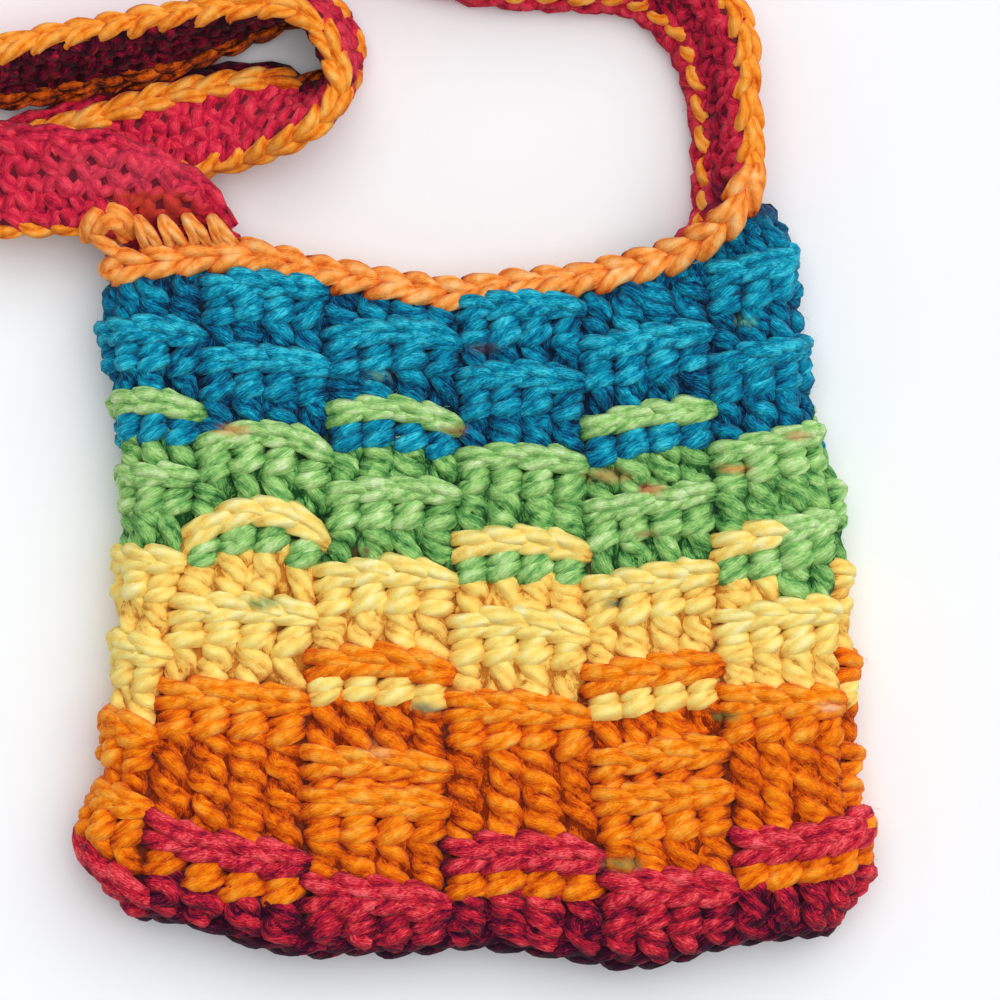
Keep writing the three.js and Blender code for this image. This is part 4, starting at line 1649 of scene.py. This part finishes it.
@dataclass(frozen=True)
class WallFinish:
    """The wall behind the stitches, in a dark tone of each colour band as painted shade in the gaps, with a
    knotted grain.
    """

    name: str = "bag_wall"
    # Dark tones by height up the bag: painted shade for what shows between the stitches.
    bands: tuple[tuple[float, Colour], ...] = (
        (-110, (44, 2, 20)),
        (-84, (44, 2, 20)),
        (-78, (112, 36, 2)),
        (-28, (128, 48, 4)),
        (-22, (170, 104, 30)),
        (6, (170, 104, 30)),
        (10, (28, 72, 36)),
        (48, (28, 72, 36)),
        (54, (0, 36, 66)),
        (120, (0, 42, 72)),
    )
    knot_scale: float = 160.0
    knot_randomness: float = 0.6
    bump_strength: float = 0.9
    bump_reach: float = 2.5
    roughness: float = 0.95

    def material(self) -> bpy.types.Material:
        """Makes the wall's material, banded by height up the bag.

        Returns:
            The new material.
        """
        surface = Surface(self.name)
        graph = surface.graph
        place = graph.wire("ShaderNodeTexCoord", "Object")
        height = graph.wire("ShaderNodeSeparateXYZ", "Y", {"Vector": place})
        low, high = self.bands[0][0], self.bands[-1][0]
        stops = [((level - low) / (high - low), linear(colour)) for level, colour in self.bands]
        share = (height / MM - low) * (1 / (high - low))
        grain = {"Vector": place, "Scale": self.knot_scale, "Randomness": self.knot_randomness}
        knots = graph.wire("ShaderNodeTexVoronoi", "Distance", grain)
        relief = {"Strength": self.bump_strength, "Distance": self.bump_reach * MM, "Height": 1 - knots}
        sockets = {
            "Base Color": graph.wire("ShaderNodeValToRGB", "Color", {"Fac": share}, stops=stops),
            "Normal": graph.wire("ShaderNodeBump", "Normal", relief),
            "Roughness": self.roughness,
        }
        return surface.feed(sockets)


@dataclass(frozen=True)
class InsideFinish:
    """The strap's inside, which shows only deep between its stitches, in the crimson's dark tone as painted
    shade.
    """

    name: str = "strap_inside"
    # The crimson yarn's dark tone: painted shade for the gaps between the stitches.
    colour: Colour = (104, 8, 36)
    roughness: float = 0.95

    def material(self) -> bpy.types.Material:
        """Makes the plain material."""
        return Surface(self.name).feed({"Base Color": linear(self.colour), "Roughness": self.roughness})


@dataclass
class Strap:
    """The strap: a crocheted band that stands on edge, with a chain along its upper edge and its face."""

    rng: np.random.Generator
    thickness: float = 9.0
    low_edge: float = -17.0
    high_edge: float = 11.0
    chain_level: float = -11.4
    chain_rise: float = 1.6
    chain: ChainStitch = ChainStitch(radius=2.25, spread=0.7)
    # Where the two chains start along the band, and how far before its end they stop.
    edge_chain_ends: tuple[float, float] = (25.0, 4.0)
    face_chain_ends: tuple[float, float] = (12.0, 6.0)
    # The edge chain's slight painted shade.
    edge_chain_painted_shade: float = 0.05
    stitch_pitch: float = 8.2
    row_levels: tuple[float, ...] = (-13.2, -7.4, -2.0, 3.4, 8.4)
    row_shift: float = 0.5
    radius: float = 3.05
    length_jitter: float = 0.35
    out_jitter: float = 0.25
    thick_jitter: float = 0.05
    # The depth under the face at which a stitch's painted shade is full.
    deep: float = 4.0
    floor_share: float = 1.05
    last_stitch: float = 2.0
    chain_clearance: float = 3.0
    lean_out: float = 0.2
    # A slanting stitch of the faces. Columns: share of the pitch, across, out.
    slant: Table = (
        (-0.14, -3.4, -1.6),
        (0.16, -1.5, 0.5),
        (0.4, 1.4, 0.6),
        (0.6, 3.2, -1.4),
    )
    # A stitch round the lower edge. Columns: along, across from the edge, out.
    edge_turn: Table = (
        (-1.0, 5.0, 2.6),
        (-0.4, 3.25, 1.4),
        (0.4, 3.25, -1.4),
        (1.0, 5.0, -2.6),
    )
    # A short strand of the face chain. Columns: along, across from the strands' line, out.
    dash: Table = (
        (-3.9, 1.4, 1.2),
        (-2.2, 0.8, 3.8),
        (0.0, 0.0, 4.4),
        (2.2, -0.8, 3.8),
        (3.9, -1.4, 1.2),
    )
    dash_start: float = 8.0
    dash_rise: float = 2.2
    dash_radius: float = 2.2
    last_dash_row: int = 28
    # The shade between the folded layers and in the valley of the curled band. Rows are those of the route.
    fold_rows: tuple[int, int] = (15, 24)
    fold_shade: float = 0.64
    shade_start: float = 70.0
    shade_end: float = 18.0
    shade_slant: float = 0.9
    valley_rows: tuple[int, int] = (1, 8)
    valley_shade: float = 0.38
    valley_ramps: tuple[float, float] = (20.0, 40.0)
    valley_middle: float = -1.0
    valley_half: float = 7.0
    # The two twisted strands along the lower edge.
    bind_start: float = 2.0
    bind_step: float = 4.6
    bind_turn: float = 23.0
    bind_radius: float = 2.4
    bind_rise: float = 0.4
    bind_across: float = 1.1
    bind_out: float = 1.9
    # The strands' slight painted shade; the fold's painted shade is added, and reaches this much further
    # along them.
    bind_painted_shade: float = 0.08
    bind_shade_reach: float = 45.0
    # The slab inside the band. Near the bag's right corner its upper part is hidden and left out.
    hidden_start: float = 24.0
    hidden_level: float = -5.0
    slab_half: float = 3.3
    slab_rise: float = 3.0
    slab_sections: int = 260
    steps: int = 16
    # The band's middle line from the bag's right corner to its left one. Columns: x, y, how high the lower
    # edge is above the surface, and the direction across the band.
    route: tuple[tuple[float, float, float, tuple[float, float, float]], ...] = (
        (70, 103, 0, (0.62, 0, 0.78)),
        (75, 113.4, 0, (0.5, 0, 0.87)),
        (75.6, 135, 0, (0.5, 0, 0.87)),
        (74.4, 150, 0, (0.5, 0, 0.87)),
        (72.5, 165.5, 0, (0.62, 0.2, 0.76)),
        (66, 178, 0, (0.58, 0.42, 0.7)),
        (50, 188.6, 0, (0.33, 0.55, 0.77)),
        (24, 190, 0, (0.1, 0.52, 0.85)),
        (-6, 192.6, 0, (0.07, 0.5, 0.87)),
        (-62, 214, 0, (0.2, 0.4, 0.89)),
        (-118, 248, 0, (0.15, 0.3, 0.94)),
        (-172, 271, 0, (0.05, 0.2, 0.98)),
        (-222, 264, 0, (-0.1, 0.1, 0.99)),
        (-249, 230, 0, (-0.1, 0, 0.99)),
        (-240, 190, 0, (0, 0, 1)),
        (-205, 166, 0, (0, 0.1, 0.99)),
        (-163, 158, 0, (0, 0.3, 0.95)),
        (-128, 163, 0, (-0.12, 0.5, 0.86)),
        (-99, 168.5, 0, (-0.16, 0.46, 0.87)),
        (-70, 176.5, 0, (-0.08, 0.14, 0.99)),
        (-55, 178.5, 0, (-0.12, -0.12, 0.98)),
        (-45.6, 173, 0, (-0.24, -0.11, 0.96)),
        (-41.9, 163, 0, (-0.17, -0.03, 0.98)),
        (-43.2, 154.6, 0, (0.1, -0.12, 0.99)),
        (-53, 147, 0, (0.2, -0.42, 0.89)),
        (-72, 144.5, 0, (0.32, -0.86, 0.4)),
        (-96, 139.5, 0, (0.29, -0.93, 0.22)),
        (-114, 134, 0, (0.21, -0.96, 0.14)),
        (-133, 128.5, 0, (0.1, -0.99, 0.05)),
        (-144, 125, 3, (0, -1, 0)),
        (-148, 124.5, 9, (0, -1, 0)),
        (-143, 124, 14.5, (0, -1, -0.1)),
        (-134, 124, 13, (0, -0.95, -0.3)),
        (-122, 124, 12, (-0.15, -0.85, -0.45)),
        (-111, 121.5, 13.5, (-0.65, -0.7, -0.3)),
        (-96, 115, 9.6, (-0.95, -0.26, -0.1)),
        (-90, 105, 3, (-1, 0, 0)),
    )

    def __post_init__(self) -> None:
        """Lays the band's middle line with its directions."""
        across = unit(np.array([row[3] for row in self.route], float))
        tilt = np.abs(across[:, 2])
        places = np.array([row[:3] for row in self.route], float)
        edges = places[:, 2] - tilt * self.low_edge
        places[:, 2] = edges + np.sqrt(1 - tilt**2) * self.thickness / 2
        self.points = self.curve(places, self.steps)
        share = np.arange(len(self.points)) / self.steps
        low = np.minimum(share.astype(int), len(places) - 2)
        part = (share - low)[:, None]
        wide = across[low] * (1 - part) + across[low + 1] * part
        self.lengths = lengths_along(self.points)
        self.run = unit(np.gradient(self.points, self.lengths, axis=0))
        self.wide = unit(wide - self.run * np.sum(wide * self.run, axis=1, keepdims=True))
        self.face = np.cross(self.wide, self.run)
        least = self.thickness / 2 * np.abs(self.face[:, 2]) - self.low_edge * np.abs(self.wide[:, 2])
        self.points[:, 2] = np.maximum(self.points[:, 2], least)

    @staticmethod
    def curve(places: Array, steps: int) -> Array:
        """A smooth curve whose speed follows the spacing of its points.

        Args:
            places: The points that it passes through.
            steps: How many steps go from one to the next.

        Returns:
            The curve's points.
        """
        padded = np.concatenate([[2 * places[0] - places[1]], places, [2 * places[-1] - places[-2]]])
        gaps = np.linalg.norm(np.diff(padded, axis=0), axis=1) ** 0.5
        found = []
        for i in range(len(places) - 1):
            p0, p1, p2, p3 = padded[i : i + 4]
            d0, d1, d2 = gaps[i : i + 3]
            t1 = ((p1 - p0) / d0 - (p2 - p0) / (d0 + d1) + (p2 - p1) / d1) * d1
            t2 = ((p2 - p1) / d1 - (p3 - p1) / (d1 + d2) + (p3 - p2) / d2) * d1
            t = (np.arange(steps) / steps)[:, None]
            square = -3 * p1 + 3 * p2 - 2 * t1 - t2
            cube = 2 * p1 - 2 * p2 + t1 + t2
            found.append(p1 + t1 * t + square * t**2 + cube * t**3)
        return np.concatenate([*found, places[-1:]])

    def at(self, length: Array, across: Array, out: Array) -> Array:
        """Points of the band.

        Args:
            length: How far along the band each point is.
            across: How far it is from the middle line towards the upper edge.
            out: How far it stands out of the band's left-hand face.

        Returns:
            The points.
        """
        reach = np.clip(length, 0, self.lengths[-1])
        tables = (self.points, self.wide, self.face, self.run)
        point, wide, face, along = pick(reach, self.lengths, *tables)
        point = point + along * (length - reach)[..., None]
        return point + wide * across[..., None] + face * out[..., None]

    def band(self) -> Skein:
        """The band's own stitches on both faces and round its lower edge.

        Returns:
            The strands.
        """
        skein = Skein("strap_stitches", Hue.CRIMSON, sides=7, steps=5 / 3, fuzz_density=12000)
        places = np.arange(0.0, self.lengths[-1] + self.last_stitch, self.stitch_pitch)
        half = self.thickness / 2 - self.radius
        length, across, out = np.array(self.slant).T
        for face in (1, -1):
            for number, level in enumerate(self.row_levels):
                if face < 0 and abs(level - self.chain_level) < self.chain_clearance:
                    continue
                starts = places[places > self.hidden_start] if level > self.hidden_level else places
                starts = starts + self.row_shift * self.stitch_pitch * (number % 2)
                for lean in (-1, 1):
                    run = length * lean * self.stitch_pitch
                    high = face * (out + half + self.lean_out * lean)
                    self.lay(skein, starts, run, level + across, high, self.radius)
        length, across, out = np.array(self.edge_turn).T
        for shift in (0.0, self.row_shift):
            starts = places + shift * self.stitch_pitch
            self.lay(skein, starts, length, self.low_edge + across, out, self.radius)
        self.bind(skein)
        return skein

    def bind(self, skein: Skein) -> None:
        """The two strands that twist about each other along the lower edge.

        Args:
            skein: Where the strands go.
        """
        length = np.arange(self.bind_start, self.lengths[-1], self.bind_step)
        shades = [self.shade(length - later, self.low_edge) for later in (0.0, self.bind_shade_reach)]
        painted_shade = self.bind_painted_shade + np.maximum(*shades)
        for phase in (0.0, math.pi):
            turn = TAU * length / self.bind_turn + phase
            across = self.low_edge + self.bind_rise + self.bind_across * np.sin(turn)
            points = self.at(length, across, self.bind_out * np.cos(turn))
            points[..., 2] = np.maximum(points[..., 2], self.bind_radius)
            skein.add(points[None], self.bind_radius, painted_shade[None], steps=1)

    def lay(
        self, skein: Skein, starts: Array, length: Array, across: Array, out: Array, radius: float
    ) -> None:
        """Lays the same strand at each of many places along the band.

        Args:
            skein: Where the strands go.
            starts: The places along the band.
            length: The strand's points along the band, from the place.
            across: The points across the band.
            out: The points out of the face.
            radius: The yarn's radius.
        """
        shape = (len(starts), len(length))
        run = starts[:, None] + length + self.rng.normal(0, self.length_jitter, shape)
        wide = across + self.rng.normal(0, self.length_jitter, shape)
        high = out + self.rng.normal(0, self.out_jitter, shape)
        points = self.at(run, wide, high)
        points[..., 2] = np.maximum(points[..., 2], radius * self.floor_share)
        # Painted shade by how deep the stitch lies under the face, with the fold's or the valley's shade
        # added.
        painted_shade = np.clip((self.thickness / 2 - self.radius - np.abs(high)) / self.deep, 0, 1)
        shade = self.shade(run, across) if np.mean(out) < 0 else self.valley(run, across)
        thick = radius * self.rng.normal(1, self.thick_jitter, len(starts))
        skein.add(points, thick, np.clip(painted_shade + shade, 0, 1))

    def shade(self, length: Array, across: Array | float) -> Array:
        """How deep in the fold's shade the right-hand face is. The shade ends sooner by the upper edge.

        Args:
            length: The places along the band.
            across: The places across it.

        Returns:
            The shade, from 0 to the fold's full shade.
        """
        start, end = (self.lengths[row * self.steps] for row in self.fold_rows)
        rise = np.clip((length - start) / self.shade_start, 0, 1)
        left = end - self.shade_slant * (across - self.low_edge) - length
        return self.fold_shade * rise * np.clip(left / self.shade_end + 1, 0, 1)

    def valley(self, length: Array, across: Array) -> Array:
        """How deep in the shade of the curled band the left-hand face is.

        Args:
            length: The places along the band.
            across: The places across it.

        Returns:
            The shade, from 0 to the valley's full shade.
        """
        start, end = (self.lengths[row * self.steps] for row in self.valley_rows)
        first, last = self.valley_ramps
        along = np.clip((length - start) / first, 0, 1) * np.clip((end - length) / last, 0, 1)
        aside = np.abs(across - self.valley_middle) / self.valley_half
        return self.valley_shade * along * np.clip(1 - aside, 0, 1)

    def edge_line(self) -> Line:
        """The upper edge's line, which the front chain lies on."""
        rise = np.full(len(self.lengths), self.high_edge + self.chain_rise)
        return Line(self.at(self.lengths, rise, np.zeros(len(self.lengths))), self.wide)

    def face_line(self) -> Line:
        """The line of the chain that is worked on the right-hand face.

        Returns:
            The line.
        """
        level = np.full(len(self.lengths), self.chain_level)
        out = np.full(len(self.lengths), -self.thickness / 2)
        return Line(self.at(self.lengths, level, out), -self.face)

    def edge_chain(self) -> Skein:
        """The loops of the chain along the upper edge.

        Returns:
            The strands.
        """
        skein = Skein("strap_edge_chain", Hue.TRIM, sides=9)
        start, end = self.edge_chain_ends
        loops = self.chain.along(self.edge_line(), start, self.lengths[-1] - end, self.rng)
        skein.add(loops, self.chain.radius, self.edge_chain_painted_shade)
        return skein

    def face_chain(self) -> Skein:
        """The loops of the chain on the right-hand face, with the dashes that show on the other one.

        Returns:
            The strands.
        """
        skein = Skein("strap_face_chain", Hue.TRIM, sides=8)
        start, end = self.face_chain_ends
        loops = self.chain.along(self.face_line(), start, self.lengths[-1] - end, self.rng)
        loops[..., 2] = np.maximum(loops[..., 2], self.chain.radius)
        stitch = np.arange(len(loops)) % (len(loops) // 2)
        shade = self.shade(start + self.chain.pitch * (stitch + 0.5), self.chain_level)
        skein.add(loops, self.chain.radius, np.repeat(shade[:, None], loops.shape[1], 1))
        self.dashes(skein)
        return skein

    def dashes(self, skein: Skein) -> None:
        """Lays the short strands of the face chain that show on the band's other face.

        Args:
            skein: Where the strands go.
        """
        end = self.lengths[self.last_dash_row * self.steps]
        length, across, out = np.array(self.dash).T
        across = self.chain_level + self.dash_rise + across
        starts = np.arange(self.dash_start, end, self.chain.pitch)
        self.lay(skein, starts, length, across, out, self.dash_radius)

    def ground(self) -> bpy.types.Object:
        """The band's inside, as one thin slab between the stitches of its two faces.

        Returns:
            The new object.
        """
        count, half = self.slab_sections, self.slab_half
        lengths = np.linspace(0, self.lengths[-1], count)
        low = np.full(count, self.low_edge + self.slab_rise)
        high = np.where(lengths > self.hidden_start, self.high_edge, self.hidden_level)
        section = ((low, -half), (low, half), (high, half), (high, -half))
        loops = np.stack([self.at(lengths, wide, np.full(count, out)) for wide, out in section], axis=1)
        index = np.arange(loops.size // 3).reshape(count, -1)
        a, b = index[:-1], index[1:]
        quads = np.stack([a, b, np.roll(b, -1, 1), np.roll(a, -1, 1)], axis=-1).reshape(-1, 4)
        ends = np.stack([index[0], index[-1][::-1]])
        return plain_mesh("strap_inside", loops.reshape(-1, 3), np.concatenate([quads, ends]))


@dataclass
class MouthEdging:
    """The orange chain round the mouth, and the stitches that join the strap to it."""

    rng: np.random.Generator
    chain: ChainStitch = ChainStitch(radius=2.65, spread=1.0)
    first_loop: float = 2.0
    front_past: float = 4.0
    # The slight painted shade of the first loop.
    head_painted_shade: float = 0.05
    # One fork of the join's long stitches. Columns: x, half the fork's width, y, z.
    fork: Table = (
        (4.2, 2.2, -0.5, -4.0),
        (3.3, 2.0, 0.6, 0.8),
        (2.0, 1.4, 3.2, 3.2),
        (0.4, 0.9, 6.0, 3.4),
        (-0.9, 0.4, 7.8, 1.6),
        (-1.6, 0.0, 8.2, -3.0),
    )
    fork_places: tuple[float, ...] = (-102.0, -94.4, -87.0, -79.6)
    fork_y: float = 106.5
    fork_z: float = 23.0
    fork_radius: float = 1.75
    fork_blunt: float = 0.5
    tall_jitter: float = 0.06
    fork_jitter: float = 0.2
    knot_radius: float = 2.5
    knot_jitter: float = 0.05
    # The knot's slight painted shade.
    knot_painted_shade: float = 0.1
    # The chain's lines. Columns: x, y, z, and how far the chain leans to the mouth, in degrees.
    front: Table = (
        (-112.0, 99.4, 20.0, 0),
        (-104.0, 100.6, 22.0, 0),
        (-88.0, 102.2, 23.0, 0),
        (-72.0, 103.6, 23.0, 10),
        (-60.0, 101.4, 23.0, 25),
        (-48.0, 98.6, 23.0, 30),
        (-28.0, 94.8, 23.0, 25),
        (-9.0, 91.8, 23.0, 10),
        (6.0, 94.2, 23.0, 35),
        (21.0, 95.8, 23.0, 35),
        (36.0, 97.5, 23.0, 25),
        (51.0, 101.3, 23.5, 10),
        (60.0, 104.4, 25.0, 0),
        (68.0, 108.8, 28.0, -10),
        (74.6, 114.6, 31.0, -10),
        (79.0, 121.4, 31.2, -5),
        (81.4, 128.0, 30.0, 0),
    )
    back: Table = (
        (-68.0, 102.4, 6.6, 110),
        (-48.0, 97.6, 6.6, 110),
        (-28.0, 93.8, 6.6, 110),
        (-9.0, 91.0, 6.6, 110),
        (6.0, 93.4, 6.6, 110),
        (36.0, 96.8, 6.6, 110),
        (46.0, 98.8, 6.6, 110),
    )
    # The loops of the knot where the strap's edge chain ends by the join.
    knot: tuple[tuple[tuple[float, float, float], ...], ...] = (
        ((-118.6, 108.4, 20), (-118.2, 112.4, 24), (-115.2, 116.2, 25), (-110.6, 117.6, 22)),
        ((-114.0, 117.4, 21), (-109.6, 117.2, 26), (-106.2, 114.0, 26), (-105.4, 109.8, 20)),
        ((-116.0, 109.6, 22), (-112.6, 113.2, 26), (-109.0, 113.4, 26), (-107.0, 109.0, 20)),
        ((-117.6, 111.0, 20), (-114.6, 108.2, 24), (-111.4, 106.0, 23), (-108.0, 103.4, 20)),
    )

    def line(self, rows: Table, face: float) -> Line:
        """The line of one side of the mouth.

        Args:
            rows: The line's table.
            face: 1 where the chain faces up and -1 where it faces down.

        Returns:
            The line.
        """
        table = np.array(rows)
        lean = np.radians(table[:, 3])
        outs = np.stack([np.zeros(len(table)), np.sin(lean), face * np.cos(lean)], axis=1)
        return Line.through(table[:, :3], outs)

    def skein(self, name: str, line: Line, end: float = 0.0) -> Skein:
        """The loops of the chain along one line.

        Args:
            name: The piece's name.
            line: The line that the chain lies on.
            end: How far past the line's end the last loop may reach.

        Returns:
            The strands.
        """
        skein = Skein(name, Hue.EDGING, sides=10)
        loops = self.chain.along(line, self.first_loop, line.lengths[-1] + end, self.rng)
        loops[..., 2] = np.maximum(loops[..., 2], self.chain.radius)
        skein.add(loops, self.chain.radius, self.chain.painted_shade())
        skein.add(self.chain.head(line, self.first_loop), self.chain.radius, self.head_painted_shade)
        return skein

    def join(self) -> Skein:
        """The four long stitches from the edging up onto the strap's left end.

        Returns:
            The strands.
        """
        skein = Skein("strap_join_stitches", Hue.EDGING, sides=10)
        shift, part, rise, height = np.array(self.fork).T
        for left in self.fork_places:
            tall = self.rng.normal(1, self.tall_jitter)
            for side in (-1, 1):
                x = left + shift + side * part + self.rng.normal(0, self.fork_jitter, len(shift))
                y = self.fork_y + rise * tall + self.rng.normal(0, self.fork_jitter, len(shift))
                points = np.stack([x, y, self.fork_z + height], axis=1)
                skein.add(points[None], self.fork_radius, 0.0, blunt=self.fork_blunt)
        for loop in self.knot:
            radius = self.knot_radius * self.rng.normal(1, self.knot_jitter)
            skein.add(np.array(loop)[None], radius, self.knot_painted_shade)
        return skein


@dataclass
class Studio:
    """A plain pale floor, soft light and the camera above the bag."""

    centre: tuple[float, float] = (6.0, 30.0)
    front_height: float = 28.0
    view_width: float = 300.0
    camera_height: float = 2400.0
    sensor: float = 36.0
    view_end: float = 20.0
    floor_side: float = 4000.0
    floor_colour: tuple[float, ...] = (0.88, 0.9, 0.92, 1)
    floor_roughness: float = 0.9
    fill_strength: float = 0.4
    sun_strength: float = 2.4
    sun_angle: float = 75.0
    sun_place: tuple[float, float, float] = (0.45, 0.6, 1.6)
    sun_target: tuple[float, float, float] = (0, 0.05, 0)

    def camera(self) -> None:
        """Makes the camera that looks straight down, and the scene's plain colours."""
        data = bpy.data.cameras.new("camera")
        data.sensor_width = self.sensor
        data.lens = self.sensor * (self.camera_height - self.front_height) / self.view_width
        data.clip_end = self.view_end
        camera = bpy.data.objects.new("camera", data)
        camera.location = Vector((*self.centre, self.camera_height)) * MM
        bpy.context.collection.objects.link(camera)
        scene = bpy.context.scene
        scene.camera = camera
        scene.view_settings.view_transform = "Standard"

    def floor(self) -> None:
        """Makes the floor."""
        corners = np.array([[-1, -1, 0], [1, -1, 0], [1, 1, 0], [-1, 1, 0]]) * self.floor_side
        floor = plain_mesh("floor", corners, np.array([[0, 1, 2, 3]]))
        sockets = {"Base Color": self.floor_colour, "Roughness": self.floor_roughness}
        floor.data.materials.append(Surface("pale_floor").feed(sockets))

    def light(self) -> None:
        """Makes a soft main light above the mouth and an even fill."""
        world = bpy.data.worlds.new("even_fill")
        world.use_nodes = True
        fill = world.node_tree.nodes["Background"].inputs
        fill["Color"].default_value = (1, 1, 1, 1)
        fill["Strength"].default_value = self.fill_strength
        bpy.context.scene.world = world
        data = bpy.data.lights.new("main_light", "SUN")
        data.energy = self.sun_strength
        data.angle = math.radians(self.sun_angle)
        light = bpy.data.objects.new("main_light", data)
        light.location = self.sun_place
        aim = Vector(self.sun_target) - light.location
        light.rotation_euler = aim.to_track_quat("-Z", "Y").to_euler()
        bpy.context.collection.objects.link(light)


def settle(piece: bpy.types.Object, nodes: Sequence[str] = ()) -> None:
    """Rides a piece on the bag and hides the solids that it stands for.

    Args:
        piece: The piece.
        nodes: The solids.
    """
    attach(piece, "root")
    if nodes:
        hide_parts(*nodes)
    LOG.info("%s: %d faces", piece.name, len(piece.data.polygons))


def main() -> None:
    """Builds the bag's pieces in order and writes how large they are."""
    logging.basicConfig(level=logging.INFO, format="%(name)s %(message)s")
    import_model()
    studio = Studio()
    studio.camera()
    studio.floor()
    studio.light()
    rng = np.random.default_rng(SEED)
    sweep = YarnSweep()
    finishes = {hue: finish.material() for hue, finish in FINISHES.items()}

    strap = Strap(rng)
    upper, faced = strap.edge_chain(), strap.face_chain()
    inside = strap.ground()
    inside.data.materials.append(InsideFinish().material())
    settle(inside, ["strap"])
    band = [
        strap.band().piece(sweep, finishes[Hue.CRIMSON], STRAP_FLECKS),
        *(skein.piece(sweep, finishes[skein.hue]) for skein in (upper, faced)),
    ]
    settle(band[0], ["strap"])
    settle(band[1], ["strap_edging_front"])
    settle(band[2], ["strap_edging_back"])

    body = BagBody(BagForm(), rng)
    body.stitch()
    wall = body.ground()
    wall.data.materials.append(WallFinish().material())
    settle(wall, ["bag_body"])
    for hue, skein in body.skeins.items():
        piece = skein.piece(sweep, finishes[hue], FLECKS)
        settle(piece, ["bag_body"])

    edging = MouthEdging(rng)
    front = edging.skein("mouth_chain_front", edging.line(edging.front, 1.0), edging.front_past)
    back = edging.skein("mouth_chain_back", edging.line(edging.back, -1.0))
    trims = [(front, "mouth_edging_front"), (back, "mouth_edging_back"), (edging.join(), "strap_join")]
    for skein, node in trims:
        piece = skein.piece(sweep, finishes[skein.hue])
        settle(piece, [node])

    length = float(strap.lengths[-1]) * MM


if __name__ == "__main__":
    main()
